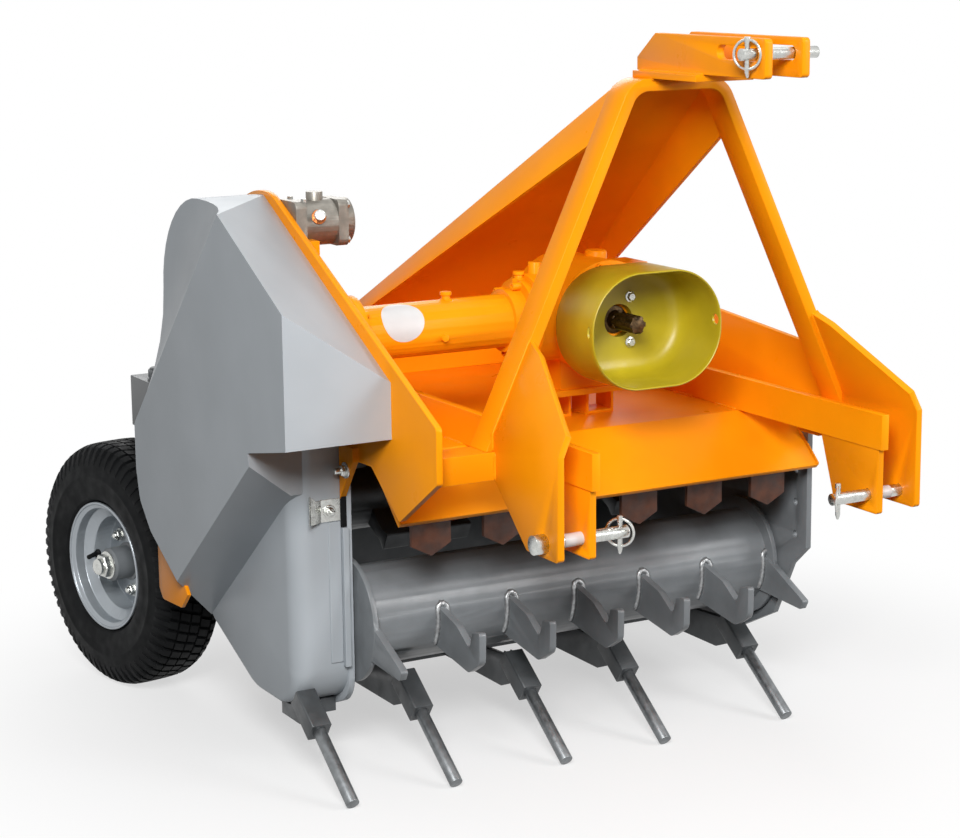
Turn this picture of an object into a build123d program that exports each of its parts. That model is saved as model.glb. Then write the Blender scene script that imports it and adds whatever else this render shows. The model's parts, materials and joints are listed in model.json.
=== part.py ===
"""Pruning shredder for a tractor's three-point linkage, all sizes in millimetres.

+X is to the right seen from the tractor, +Y to the rear, +Z up. The origin is on the
floor under the middle of the machine's box. Outlines of upright plates are (Y, Z) rows.
"""
import os
from math import atan2, cos, hypot, radians, sin, tan
from build123d import *

os.makedirs("parts", exist_ok=True)

# Stance and body
WALL_OUT = 469          # outer face of each side wall, from the middle
WALL_T = 12             # side walls and drive plate
SHEET_T = 8             # hood sheets
DECK_Z = 615            # top of the hood's deck
DECK_FRONT_Y = -270
DECK_REAR_Y = 480
HOOD_LIP_Y = -382       # lower edge of the leaning front panel
HOOD_LIP_Z = 514
REAR_SHEET_LOW_Z = 180
WALL_LOW_Z = 90
RUN_GAP = 5             # room between a moving piece and its neighbour
FIT_GAP = 0.3           # radial room of a shaft in its hole

# Headstock
HITCH_X = 48            # middle of the linkage, right of the body's middle
RAIL_IN = 296           # inner face of a rail, from the linkage's middle
RAIL_T = 16
RAIL_H = 65
RAIL_FRONT_Y = -712
RAIL_REAR_Y = 430
TAB_T = 12
TAB_LOW_Z = 495
LINK_OUT = 382          # outer face of an outer link plate
LINK_T = 12
LINK_FRONT_Y = -718
LINK_LOW_Z = 502
LOWER_PIN_R = 11
LOWER_PIN_Y = -672
LOWER_PIN_Z = 527
LOWER_PIN_FREE = 78     # pin past the rail's tab
PIN_HEAD_R = 17
PIN_HEAD_L = 22
PEG_R = 4.5             # linchpin's peg
RING_R = 24
RING_WIRE_R = 2.5
LEG_T = 22
LEG_FRONT_Y = -500
LEG_REAR_Y = -440
FOOT_Z = 653            # the legs stand on the cross beam here
LEG_FOOT_HALF = 396     # from the linkage's middle to the outer face's foot
LEG_TOP_Z = 1280
LEG_TOP_HALF = 99       # from the linkage's middle to the outer face's corner
LEG_BEND_R = 34         # inside the top bends
BEAM_FRONT_Y = -505
BEAM_D = 65
BEAM_H = 50
TOP_PLATE_T = 15
TOP_GAP = 60            # between the two top link plates
TOP_PLATE_FRONT_Y = -816
TOP_PLATE_REAR_Y = -432
TOP_PLATE_H = 66
TOP_BASE_T = 12
TOP_BASE_HALF = 60
TOP_BASE_FRONT_Y = -638
TOP_PLATE_LOW_Z = LEG_TOP_Z + TOP_BASE_T
TOP_PIN_R = 10
TOP_PIN_Y = -784
TOP_SLOT_L = 118
BRACE_T = 8
BRACE_TOP_HALF = 96     # fold of the brace behind the post
BRACE_TOP_Z = LEG_TOP_Z - 13
BRACE_DEEP = 96         # flange behind the post, measured upright
BRACE_SHALLOW = 28      # flange over the rails
BRACE_LEAN = 0.469      # how far a flange goes outwards for its depth

# Drive line
SHAFT_Y = -182          # cross shaft in its tube
SHAFT_Z = 822
TUBE_R = 50
BOX_HALF = 118          # gearbox, from its middle to its side cover
BOX_R = 108
BOX_REAR_Y = -84
BOX_FRONT_Y = -284
GUARD_W = 280
GUARD_H = 216
GUARD_FRONT_Y = -435
GUARD_REAR_Y = -297
GUARD_T = 4
STUB_R = 17.45          # 1 3/8 inch six-spline stub
STUB_END_Y = -368
COLLAR_R = 26
BED_TOP_Z = SHAFT_Z - BOX_R - 34
BED_FRONT_Y = -150
BED_T = 12
CHANNEL_W = 62
CHANNEL_T = 6
PUMP_Y = 66
PUMP_Z = 1000
PUMP_R = 44
PUMP_L = 122

# Belt cover
COVER_OUT = 672         # outer face of the upper part, from the middle
COVER_MID = 575         # outer face of the lower part
COVER_T = 4
COVER_ROLL_R = 40       # rolled front edge of the lower part

# Feed roller, hammer rotor and tines
ROLLER_Y = -140
ROLLER_Z = 282
ROLLER_R = 95
DISC_R = 120
DISC_T = 10
HOOK_COUNT = 7
HOOK_PITCH = 148
HOOK_T = 14
ROLLER_SHAFT_R = 25
ROTOR_Y = 252
ROTOR_Z = 408
ROTOR_R = 66
HAMMER_TIP_R = 146
HAMMER_W = 56
HAMMER_ROWS = 3
HAMMERS_PER_ROW = 6
ROTOR_SHAFT_R = 28
TINE_X = (-556, -346, -111, 110, 396)
TINE_ROD_R = 12.5
TINE_TIP_Y = -372
TINE_SLOPE = 35.5       # degrees below the level
TINE_ROD_L = 165
SLEEVE_W = 40
SLEEVE_L = 90
GUSSET_T = 12
TOOL_BEAM_Y = 95
TOOL_BEAM_Z = 92
TOOL_BEAM_W = 50

# Wheels
WHEEL_R = 255
WHEEL_W = 150
WHEEL_CLEAR = 69        # side wall to the tyre's inner face, at its middle
WHEEL_FRONT_Y = 304
WHEEL_Y = WHEEL_FRONT_Y + WHEEL_R
WHEEL_TOE = 11          # degrees that a wheel's front points inwards
BEAD_R = 126
AXLE_R = 18
ARM_T = 15

NODES = {}


def rounded(rows):
    """Face inside a closed outline whose rows are (u, v, corner radius)."""
    count = len(rows)
    starts, ends, mids = [], [], []
    for i, (u, v, r) in enumerate(rows):
        pu, pv, _ = rows[i - 1]
        nu, nv, _ = rows[(i + 1) % count]
        back = hypot(pu - u, pv - v)
        ahead = hypot(nu - u, nv - v)
        bu, bv = (pu - u) / back, (pv - v) / back
        au, av = (nu - u) / ahead, (nv - v) / ahead
        half = atan2(abs(bu * av - bv * au), bu * au + bv * av) / 2
        reach = r / tan(half) if r else 0
        starts.append((u + bu * reach, v + bv * reach))
        ends.append((u + au * reach, v + av * reach))
        su, sv = bu + au, bv + av
        length = hypot(su, sv)
        inset = r / sin(half) - r if r else 0
        mids.append((u + su / length * inset, v + sv / length * inset) if r else (u, v))
    edges = []
    for i, (_, _, r) in enumerate(rows):
        if r:
            edges.append(ThreePointArc(starts[i], mids[i], ends[i]))
        edges.append(Line(ends[i], starts[(i + 1) % count]))
    return make_face(edges)


def sharp(points):
    return rounded([(u, v, 0) for u, v in points])


def along_x(face, x0, x1):
    """Plate between two X values from a (Y, Z) face."""
    return extrude(Plane.YZ.offset(x0) * face, x1 - x0)


def along_y(face, y0, y1):
    """Plate between two Y values from an (X, Z) face."""
    return extrude(Plane.XZ.offset(-y1) * face, y1 - y0)


def box(x0, x1, y0, y1, z0, z1):
    return Pos((x0 + x1) / 2, (y0 + y1) / 2, (z0 + z1) / 2) * Box(x1 - x0, y1 - y0, z1 - z0)


def rod_x(y, z, r, x0, x1):
    return along_x(Pos(y, z) * Circle(r), x0, x1)


def rod_y(x, z, r, y0, y1):
    return along_y(Pos(x, z) * Circle(r), y0, y1)


def rod_z(x, y, r, z0, z1):
    return Pos(x, y, z0) * extrude(Circle(r), z1 - z0)


def keep_side(solid, point, normal):
    """The part of a solid on the side of a plane that its normal points away from."""
    return split(solid, Plane(origin=point, z_dir=normal), keep=Keep.BOTTOM)


def plane_normal(a, b, c):
    return (Vector(*b) - Vector(*a)).cross(Vector(*c) - Vector(*a))


# Side walls and the drive plate that carries the belt drive

WALL_IN = WALL_OUT - WALL_T
WALL_REAR_Y = DECK_REAR_Y + SHEET_T
WALL_TOP_Z = 600
LEFT_WALL_FRONT_Y = -187
STAY_FRONT_Y = -246
STAY_REAR_Y = -188
RIGHT_WALL_FRONT_Y = -345
SIDE_HOLES_Y = RIGHT_WALL_FRONT_Y + 37
SIDE_HOLES_Z = (359, 424, 489)
SIDE_HOLE_R = 7


def shaft_holes(x0, x1):
    return [rod_x(ROLLER_Y, ROLLER_Z, ROLLER_SHAFT_R + FIT_GAP, x0, x1),
            rod_x(ROTOR_Y, ROTOR_Z, ROTOR_SHAFT_R + FIT_GAP, x0, x1)]


def drive_plate():
    """Plate of the belt drive with a pointed stay in front of the cover."""
    rear_y = 348
    rows = [(-402, 523, 10), (-546, 618, 10), (-546, 715, 10), (115, 1056, 120),
            (rear_y, 1056, 196), (rear_y, WALL_TOP_Z, 0), (-200, WALL_TOP_Z, 0), (-296, 603, 10)]
    stay_rows = [(STAY_REAR_Y, 628), (STAY_REAR_Y, 523), (STAY_FRONT_Y, WALL_TOP_Z + 3), (STAY_FRONT_Y, 628)]
    stay = along_x(sharp(stay_rows), -WALL_OUT - WALL_T, -WALL_OUT)
    return along_x(rounded(rows), -WALL_OUT, -WALL_IN) + stay


def left_wall():
    rows = [(LEFT_WALL_FRONT_Y, WALL_TOP_Z, 0), (LEFT_WALL_FRONT_Y, 140, 60), (-60, WALL_LOW_Z, 30),
            (180, WALL_LOW_Z, 30), (WALL_REAR_Y, REAR_SHEET_LOW_Z, 20), (WALL_REAR_Y, WALL_TOP_Z, 0)]
    return along_x(rounded(rows), -WALL_OUT, -WALL_IN) - shaft_holes(-WALL_OUT, -WALL_IN)


def right_wall():
    rows = [(RIGHT_WALL_FRONT_Y, WALL_TOP_Z, 0), (RIGHT_WALL_FRONT_Y, 337, 0), (-298, 295, 0),
            (-240, 180, 0), (-60, WALL_LOW_Z, 30), (180, WALL_LOW_Z, 30),
            (WALL_REAR_Y, REAR_SHEET_LOW_Z, 20), (WALL_REAR_Y, WALL_TOP_Z, 0)]
    wall = along_x(rounded(rows), WALL_IN, WALL_OUT) - shaft_holes(WALL_IN, WALL_OUT)
    return wall - [rod_x(SIDE_HOLES_Y, z, SIDE_HOLE_R, WALL_IN, WALL_OUT) for z in SIDE_HOLES_Z]


def right_plate():
    rows = [(-420, WALL_TOP_Z, 0), (BEAM_FRONT_Y, 612, 10), (BEAM_FRONT_Y, 700, 12), (-312, 750, 20),
            (-32, 773, 40), (180, 760, 40), (WALL_REAR_Y, 640, 0), (WALL_REAR_Y, WALL_TOP_Z, 0)]
    return along_x(rounded(rows), WALL_IN, WALL_OUT)


NODES["drive_plate"] = drive_plate()
NODES["side_wall_left"] = left_wall()
NODES["side_wall_right"] = right_wall()
NODES["side_plate_right"] = right_plate()


# Hood: leaning front panel, deck and rear sheet between the walls

def hood_front():
    rows = [(HOOD_LIP_Y, HOOD_LIP_Z), (DECK_FRONT_Y, DECK_Z), (DECK_FRONT_Y, DECK_Z - SHEET_T),
            (HOOD_LIP_Y + SHEET_T, HOOD_LIP_Z - SHEET_T)]
    return along_x(sharp(rows), -WALL_IN, WALL_IN)


NODES["hood_front"] = hood_front()
NODES["hood_deck"] = box(-WALL_IN, WALL_IN, DECK_FRONT_Y, DECK_REAR_Y, DECK_Z - SHEET_T, DECK_Z)
NODES["hood_rear"] = box(-WALL_IN, WALL_IN, DECK_REAR_Y, WALL_REAR_Y, REAR_SHEET_LOW_Z, DECK_Z)


def counter_teeth():
    """Plates with a shallow point under the front panel, between the hooks of the roller."""
    half, thick = 40, 10
    front_y, point_z, corner_z = -335, 434, 455
    low_y, low_z = HOOD_LIP_Y + SHEET_T, HOOD_LIP_Z - SHEET_T
    rise = (DECK_Z - SHEET_T - low_z) / (DECK_FRONT_Y - low_y)
    face = sharp([(-half, DECK_Z), (-half, corner_z), (0, point_z), (half, corner_z), (half, DECK_Z)])
    tooth = keep_side(along_y(face, front_y, front_y + thick), (0, low_y, low_z), (0, -rise, 1))
    start = -(HOOK_COUNT - 2) / 2 * HOOK_PITCH
    return Compound([(Pos(start + i * HOOK_PITCH, 0, 0) * tooth).solid() for i in range(HOOK_COUNT - 1)])


NODES["counter_teeth"] = counter_teeth()


# Headstock: rails, link plates, cross beams, bent post and top link plates

def rail(side):
    """Flat bar over the deck with a tab for the lower pin below its front end."""
    x_in = HITCH_X + side * RAIL_IN
    x_out = HITCH_X + side * (RAIL_IN + RAIL_T)
    bar = box(min(x_in, x_out), max(x_in, x_out), RAIL_FRONT_Y, RAIL_REAR_Y, DECK_Z, DECK_Z + RAIL_H)
    middle = HITCH_X + side * (RAIL_IN + RAIL_T / 2)
    front_y = RAIL_FRONT_Y + 10
    tab_rows = [(front_y, TAB_LOW_Z, 6), (front_y, DECK_Z, 0), (-533, DECK_Z, 0), (-575, TAB_LOW_Z, 6)]
    tab = along_x(rounded(tab_rows), middle - TAB_T / 2, middle + TAB_T / 2)
    hole_r = LOWER_PIN_R + FIT_GAP
    return bar + tab - rod_x(LOWER_PIN_Y, LOWER_PIN_Z, hole_r, middle - RAIL_T, middle + RAIL_T)


RAIL_OUT = RAIL_IN + RAIL_T
LEG_LEAN = atan2(LEG_FOOT_HALF - LEG_TOP_HALF, LEG_TOP_Z - FOOT_Z)
LINK_FOLD_Z = FOOT_Z + (LEG_FOOT_HALF - LINK_OUT) / tan(LEG_LEAN)


def cross_beam(side):
    """Box beam under a leg's foot, from the rail out to the side plate."""
    x_rail = HITCH_X + side * RAIL_OUT
    x_wall = side * WALL_IN
    return box(min(x_rail, x_wall), max(x_rail, x_wall), BEAM_FRONT_Y, BEAM_FRONT_Y + BEAM_D,
               FOOT_Z - BEAM_H, FOOT_Z)


def link_plate(side):
    """Outer link plate, upright below and folded into the leg's plane above."""
    x_out = HITCH_X + side * LINK_OUT
    x_in = HITCH_X + side * (LINK_OUT - LINK_T)
    low_rows = [(-613, LINK_LOW_Z, 8), (LINK_FRONT_Y, LINK_LOW_Z, 8), (LINK_FRONT_Y, LINK_FOLD_Z, 0),
                (LEG_FRONT_Y, LINK_FOLD_Z, 0), (LEG_FRONT_Y, FOOT_Z, 0), (BEAM_FRONT_Y, FOOT_Z, 0),
                (BEAM_FRONT_Y, FOOT_Z - BEAM_H, 0)]
    low = along_x(rounded(low_rows), min(x_in, x_out), max(x_in, x_out))
    low -= rod_x(LOWER_PIN_Y, LOWER_PIN_Z, LOWER_PIN_R + FIT_GAP, min(x_in, x_out), max(x_in, x_out))
    stretch = 1 / cos(LEG_LEAN)
    fold_rows = [(LEG_FRONT_Y, 0), (LEG_FRONT_Y, 158 * stretch), (-545, 141 * stretch),
                 (LINK_FRONT_Y + 3, 36 * stretch), (LINK_FRONT_Y, 0)]
    inward = (-side * cos(LEG_LEAN), 0, -sin(LEG_LEAN))
    lean_plane = Plane(origin=(x_out, 0, LINK_FOLD_Z), x_dir=(0, 1, 0), z_dir=inward)
    flip = 1 if lean_plane.y_dir.Z > 0 else -1
    face = sharp([(y, s * flip) for y, s in fold_rows])
    return low + extrude(lean_plane * face, LINK_T) - cross_beam(side)


def post():
    """Flat bar bent to an A over the input shaft."""
    inset = LEG_T / cos(LEG_LEAN)
    top_inset = LEG_T * tan((radians(90) - LEG_LEAN) / 2)
    rows = [(-LEG_FOOT_HALF, FOOT_Z, 0), (-LEG_TOP_HALF, LEG_TOP_Z, LEG_BEND_R + LEG_T),
            (LEG_TOP_HALF, LEG_TOP_Z, LEG_BEND_R + LEG_T), (LEG_FOOT_HALF, FOOT_Z, 0),
            (LEG_FOOT_HALF - inset, FOOT_Z, 0), (LEG_TOP_HALF - top_inset, LEG_TOP_Z - LEG_T, LEG_BEND_R),
            (top_inset - LEG_TOP_HALF, LEG_TOP_Z - LEG_T, LEG_BEND_R), (inset - LEG_FOOT_HALF, FOOT_Z, 0)]
    return along_y(Pos(HITCH_X, 0) * rounded(rows), LEG_FRONT_Y, LEG_REAR_Y)


def top_link():
    """Two plates with a slot for the upper pin, on a base plate over the post."""
    low, high = TOP_PLATE_LOW_Z, TOP_PLATE_LOW_Z + TOP_PLATE_H
    slot_h = 2 * TOP_PIN_R + 4
    slot_z = low + 40
    rows = [(TOP_PLATE_FRONT_Y, low, 8), (TOP_PLATE_FRONT_Y, high, 8), (TOP_PLATE_REAR_Y - 57, high, 4),
            (TOP_PLATE_REAR_Y, high - 43, 4), (TOP_PLATE_REAR_Y, low, 0)]
    slot = Pos(TOP_PIN_Y - TOP_PIN_R - 2 + TOP_SLOT_L / 2, slot_z) * SlotOverall(TOP_SLOT_L, slot_h)
    face = rounded(rows) - slot
    shape = box(HITCH_X - TOP_BASE_HALF, HITCH_X + TOP_BASE_HALF, TOP_BASE_FRONT_Y, LEG_REAR_Y,
                LEG_TOP_Z, low)
    for x in (HITCH_X - TOP_GAP / 2 - TOP_PLATE_T, HITCH_X + TOP_GAP / 2):
        shape += along_x(face, x, x + TOP_PLATE_T)
    return shape


TOP_PIN_Z = TOP_PLATE_LOW_Z + 40
NODES["rail_left"] = rail(-1)
NODES["rail_right"] = rail(1)
NODES["link_plate_left"] = link_plate(-1)
NODES["link_plate_right"] = link_plate(1)
NODES["cross_beam_left"] = cross_beam(-1)
NODES["cross_beam_right"] = cross_beam(1)
NODES["post"] = post()
NODES["top_link_plates"] = top_link()


def brace():
    """Folded channel, open below, that widens from the post's top down to the rails."""
    rail_top = DECK_Z + RAIL_H
    rear_fold = RAIL_IN + RAIL_T / 2 - BRACE_LEAN * BRACE_SHALLOW
    fold_in = 0.5 * BRACE_T
    low_in = BRACE_T * hypot(1, BRACE_LEAN)
    sections = []
    for y, fold, top, deep in ((LEG_REAR_Y, BRACE_TOP_HALF, BRACE_TOP_Z, BRACE_DEEP),
                               (RAIL_REAR_Y, rear_fold, rail_top + BRACE_SHALLOW, BRACE_SHALLOW)):
        low = fold + BRACE_LEAN * deep
        half_rows = [(low, top - deep), (fold, top)]
        inner_rows = [(fold - fold_in, top - BRACE_T), (low - low_in, top - deep)]
        rows = [(-u, v) for u, v in half_rows] + [(u, v) for u, v in reversed(half_rows)]
        rows += [(u, v) for u, v in reversed(inner_rows)] + [(-u, v) for u, v in inner_rows]
        sections.append(Plane.XZ.offset(-y) * Pos(HITCH_X, 0) * sharp(rows))
    end_half = RAIL_IN - BRACE_T
    end_plate = box(HITCH_X - end_half, HITCH_X + end_half, RAIL_REAR_Y, RAIL_REAR_Y + BRACE_T,
                    DECK_Z, rail_top + BRACE_SHALLOW)
    return loft(sections, ruled=True) + end_plate


NODES["brace"] = brace()


def lower_pin(side):
    """Pin with its head outside the link plate and a hole for the linchpin inside."""
    head_x = HITCH_X + side * LINK_OUT
    end_x = HITCH_X + side * (RAIL_IN - LOWER_PIN_FREE)
    shank = rod_x(LOWER_PIN_Y, LOWER_PIN_Z, LOWER_PIN_R, min(head_x, end_x), max(head_x, end_x))
    far_x = head_x + side * PIN_HEAD_L
    head = rod_x(LOWER_PIN_Y, LOWER_PIN_Z, PIN_HEAD_R, min(head_x, far_x), max(head_x, far_x))
    hole_x = end_x + side * 14
    return shank + head - rod_z(hole_x, LOWER_PIN_Y, PEG_R + 0.2, LOWER_PIN_Z - 40, LOWER_PIN_Z + 40)


def linchpin(x, y, z, reach):
    """Peg through a pin with its spring ring round the pin's end, the peg upright."""
    peg = rod_z(x, y, PEG_R, z - reach - 10, z + reach)
    wire = Plane.XZ * Pos(RING_R, 0) * RegularPolygon(RING_WIRE_R, 8)
    return peg + Pos(x, y, z) * Rot(0, 90, 0) * revolve(wire, Axis.Z)


def top_pin():
    half = TOP_GAP / 2 + TOP_PLATE_T
    left = HITCH_X - half - 26
    shank = rod_x(TOP_PIN_Y, TOP_PIN_Z, TOP_PIN_R, left, HITCH_X + half + 36)
    collar = rod_x(TOP_PIN_Y, TOP_PIN_Z, TOP_PIN_R + 4, HITCH_X + half, HITCH_X + half + 10)
    return shank + collar - rod_z(left + 13, TOP_PIN_Y, PEG_R + 0.2, TOP_PIN_Z - 40, TOP_PIN_Z + 40)


NODES["lower_pin_left"] = lower_pin(-1)
NODES["lower_pin_right"] = lower_pin(1)
NODES["top_pin"] = top_pin()
LINCH_LEFT_X = HITCH_X - RAIL_IN + LOWER_PIN_FREE - 14
LINCH_RIGHT_X = HITCH_X + RAIL_IN - LOWER_PIN_FREE + 14
NODES["linchpin_left"] = linchpin(LINCH_LEFT_X, LOWER_PIN_Y, LOWER_PIN_Z, RING_R + 4)
NODES["linchpin_right"] = linchpin(LINCH_RIGHT_X, LOWER_PIN_Y, LOWER_PIN_Z, RING_R + 4)
LINCH_TOP_X = HITCH_X - TOP_GAP / 2 - TOP_PLATE_T - 13
NODES["linchpin_top"] = linchpin(LINCH_TOP_X, TOP_PIN_Y, TOP_PIN_Z, RING_R + 4)


# Drive line: bed, gearbox, cross tube, guard, input stub and pump

def gearbox_bed():
    """Plate on two open channels, welded to the deck."""
    half = CHANNEL_W + 22
    y0, y1 = BED_FRONT_Y, BOX_REAR_Y
    plate_low = BED_TOP_Z - BED_T
    shape = box(HITCH_X - half, HITCH_X + half, y0 - 60, y1, plate_low, BED_TOP_Z)
    for x in (HITCH_X - CHANNEL_W - 12, HITCH_X + 22):
        outer = box(x, x + CHANNEL_W, y0, y1 - 10, DECK_Z, plate_low)
        hollow = box(x + CHANNEL_T, x + CHANNEL_W - CHANNEL_T, y0, y1, DECK_Z + CHANNEL_T, plate_low)
        shape += outer - hollow
    return shape


def gearbox():
    """Cast right-angle box with a foot, flanges for shaft and tube, an ear and plugs."""
    shape = rod_y(HITCH_X, SHAFT_Z, BOX_R, BOX_FRONT_Y + 22, BOX_REAR_Y)
    shape += rod_y(HITCH_X, SHAFT_Z, BOX_R - 14, BOX_FRONT_Y, BOX_FRONT_Y + 22)
    shape += rod_x(SHAFT_Y, SHAFT_Z, BOX_R - 24, HITCH_X - BOX_HALF - 20, HITCH_X + BOX_HALF)
    shape += box(HITCH_X - 66, HITCH_X + 66, BED_FRONT_Y - 50, BOX_REAR_Y - 14, BED_TOP_Z, SHAFT_Z)
    shape += box(HITCH_X, HITCH_X + BOX_R - 18, BOX_FRONT_Y + 24, SHAFT_Y, SHAFT_Z + 60, SHAFT_Z + BOX_R - 9)
    for x, r, top in ((-64, 12, 927), (72, 21, 938)):
        shape += rod_z(x, SHAFT_Y, r, SHAFT_Z, top)
    bore = rod_y(HITCH_X, SHAFT_Z, COLLAR_R + FIT_GAP, BOX_FRONT_Y, BOX_FRONT_Y + 40)
    return shape - bore


def cross_tube():
    """Tube round the cross shaft between two flanges, with plugs on its top and front."""
    right = HITCH_X - BOX_HALF - 20
    shape = rod_x(SHAFT_Y, SHAFT_Z, TUBE_R, -WALL_IN, right)
    shape += rod_x(SHAFT_Y, SHAFT_Z, BOX_R - 32, right - 16, right)
    shape += rod_x(SHAFT_Y, SHAFT_Z, TUBE_R + 9, right - 46, right - 16)
    shape += rod_x(SHAFT_Y, SHAFT_Z, TUBE_R + 22, -WALL_IN, -WALL_IN + 14)
    for x, top in ((-253, 884), (right - 8, 910)):
        shape += rod_z(x, SHAFT_Y, 8, SHAFT_Z, top)
    return shape + rod_y(-284, SHAFT_Z - 12, 7, SHAFT_Y - TUBE_R - 7, SHAFT_Y)


def guard():
    """Oval cup over the input stub, open to the front."""
    corner = GUARD_H / 2 - 4

    def oval(inset):
        face = RectangleRounded(GUARD_W - 2 * inset, GUARD_H - 2 * inset, corner - inset)
        return Pos(HITCH_X, SHAFT_Z) * face

    cup = along_y(oval(0), GUARD_FRONT_Y, GUARD_REAR_Y)
    cup -= along_y(oval(GUARD_T), GUARD_FRONT_Y, GUARD_REAR_Y - GUARD_T)
    spacer = along_y(Pos(HITCH_X, SHAFT_Z) * Circle(BOX_R - 24), GUARD_REAR_Y, BOX_FRONT_Y)
    return cup + spacer - rod_y(HITCH_X, SHAFT_Z, COLLAR_R + RUN_GAP, GUARD_FRONT_Y, BOX_FRONT_Y)


def input_stub():
    """Six-spline stub with its collar in the gearbox's bore."""
    shape = rod_y(HITCH_X, SHAFT_Z, STUB_R, STUB_END_Y, BOX_FRONT_Y)
    groove = box(-4, 4, STUB_END_Y, GUARD_REAR_Y - 8, STUB_R - 2.8, STUB_R + 5)
    for i in range(6):
        shape -= Pos(HITCH_X, 0, SHAFT_Z) * Rot(0, 60 * i, 0) * groove
    return shape + rod_y(HITCH_X, SHAFT_Z, COLLAR_R, BOX_FRONT_Y - 4, BOX_FRONT_Y + 39)


def pump():
    """Gear pump on the drive plate, with its end cover and ports."""
    shape = rod_x(PUMP_Y, PUMP_Z, PUMP_R, -WALL_IN + 22, -WALL_IN + PUMP_L)
    face = rounded([(PUMP_Y - 44, PUMP_Z - 44, 14), (PUMP_Y + 44, PUMP_Z - 44, 14),
                    (PUMP_Y + 44, PUMP_Z + 44, 14), (PUMP_Y - 44, PUMP_Z + 44, 14)])
    shape += along_x(face, -WALL_IN, -WALL_IN + 22)
    shape += along_x(face, -WALL_IN + PUMP_L - 34, -WALL_IN + PUMP_L - 14)
    return shape + rod_z(-WALL_IN + 58, PUMP_Y, 16, PUMP_Z, PUMP_Z + PUMP_R + 14)


NODES["gearbox_bed"] = gearbox_bed()
NODES["gearbox"] = gearbox()
NODES["cross_tube"] = cross_tube()
NODES["guard"] = guard()
NODES["input_stub"] = input_stub()
NODES["pump"] = pump()


# Oil tank behind the hood, over the left wheel

TANK_X0, TANK_X1 = -560, -300
TANK_Y1 = 662
TANK_Z0 = 2 * WHEEL_R + 12
TANK_Z1 = TANK_Z0 + 106
NECK_X = TANK_X0 + 26
NECK_Y = 570


def oil_tank():
    """Box with rounded upright edges and a filler neck with its cap."""
    body = box(TANK_X0, TANK_X1, WALL_REAR_Y, TANK_Y1, TANK_Z0, TANK_Z1)
    body = fillet(body.edges().filter_by(Axis.Z), 6)
    body += rod_z(NECK_X, NECK_Y, 20, TANK_Z1, TANK_Z1 + 6)
    return body + rod_z(NECK_X, NECK_Y, 16, TANK_Z1 + 6, TANK_Z1 + 26)


NODES["oil_tank"] = oil_tank()


# Belt cover: deep upper part, shallower lower part, joined by a slanting band

TOP_OUT = ((-356, 918), (-112, 1049))       # outer edge of the sloping top, front then rear
TOP_IN_FRONT = (-385, 766)                  # the same slope's front corner at the drive plate
CREASE_LOW = (156, 782)                     # the crease runs to here from the top edge's rear end
CREASE_DROP = 48                            # how far the rear corner bends inwards
BAND_OUT = ((-221, 613), (147, 316))        # upper edge of the band on the outer face
BAND_IN_REAR = (233, 205)                   # lower edge of the band on the lower part's face
NOSE_LOW_Z = 668
NOSE_ROOT_Z = 636
COVER_FRONT_Y = -186
COVER_LOW_ROWS = [(COVER_FRONT_Y, NOSE_LOW_Z + 40, 0), (COVER_FRONT_Y, 130, 78), (10, 130, 130),
                  (250, 232, 50), (150, 420, 60), (-60, 560, 0), (-60, NOSE_LOW_Z + 40, 0)]


def cover_form(inset):
    """Closed form of the cover, shrunk by a wall's thickness when inset is not zero."""
    upper_rows = [(-380, NOSE_LOW_Z, 0), (-380, 1049, 0), (345, 1049, 192), (345, 500, 60), (330, 440, 40),
                  (279, 387, 30), (147, 316, 0), (-221, 613, 0), (-216, NOSE_ROOT_Z, 0)]
    upper_face = offset(rounded(upper_rows), -inset) if inset else rounded(upper_rows)
    lower_face = offset(rounded(COVER_LOW_ROWS), -inset) if inset else rounded(COVER_LOW_ROWS)
    base_x = -WALL_OUT
    upper = along_x(upper_face, -COVER_OUT + inset, base_x)
    upper -= box(-COVER_MID - inset, base_x, -240, COVER_FRONT_Y + inset,
                 WALL_TOP_Z - 200, NOSE_ROOT_Z + inset)
    out_x, mid_x = -COVER_OUT, -COVER_MID
    top_a, top_b = (out_x, *TOP_OUT[0]), (out_x, *TOP_OUT[1])
    normal = plane_normal(top_a, top_b, (base_x, *TOP_IN_FRONT))
    upper = shave(upper, top_a, normal, (0, 0, 1), inset)
    low_c = (out_x, *CREASE_LOW)
    bend_c = (out_x + CREASE_DROP, TOP_OUT[1][0] + 200, TOP_OUT[1][1] - 40)
    upper = shave(upper, top_b, plane_normal(top_b, low_c, bend_c), (-1, 1, 1), inset)
    band_a, band_b = (out_x, *BAND_OUT[0]), (out_x, *BAND_OUT[1])
    upper = shave(upper, band_a, plane_normal(band_a, band_b, (mid_x, *BAND_IN_REAR)), (-1, 0, -1), inset)
    lower = along_x(lower_face, -COVER_MID + inset, base_x)
    rolled = lower.edges().filter_by(Axis.Z).sort_by(Axis.Y)[0:2].sort_by(Axis.X)[0:1]
    lower = fillet(rolled, COVER_ROLL_R - inset)
    return upper + lower


def shave(solid, point, normal, outward, inset):
    """Cut a solid along a plane, on the side that the outward direction shows."""
    unit = normal.normalized()
    if unit.dot(Vector(*outward)) < 0:
        unit = unit * -1
    return keep_side(solid, tuple(Vector(*point) - unit * inset), tuple(unit))


NODES["belt_cover"] = cover_form(0) - cover_form(COVER_T)


def splash_plate():
    """Folded plate between belt cover and tyre, welded to the left wall."""
    x_out = -COVER_OUT + 17
    thick = 8
    rear_y = WHEEL_FRONT_Y - 16
    side_rows = [(137, 288, 0), (173, 254, 0), (270, 248, 16), (rear_y, 268, 0), (rear_y, 380, 0),
                 (rear_y - thick, 380, 0), (160, 312, 0)]
    cross = box(x_out, -WALL_OUT, rear_y - thick, rear_y, 268, 380)
    return along_x(rounded(side_rows), x_out, x_out + thick) + cross


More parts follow.
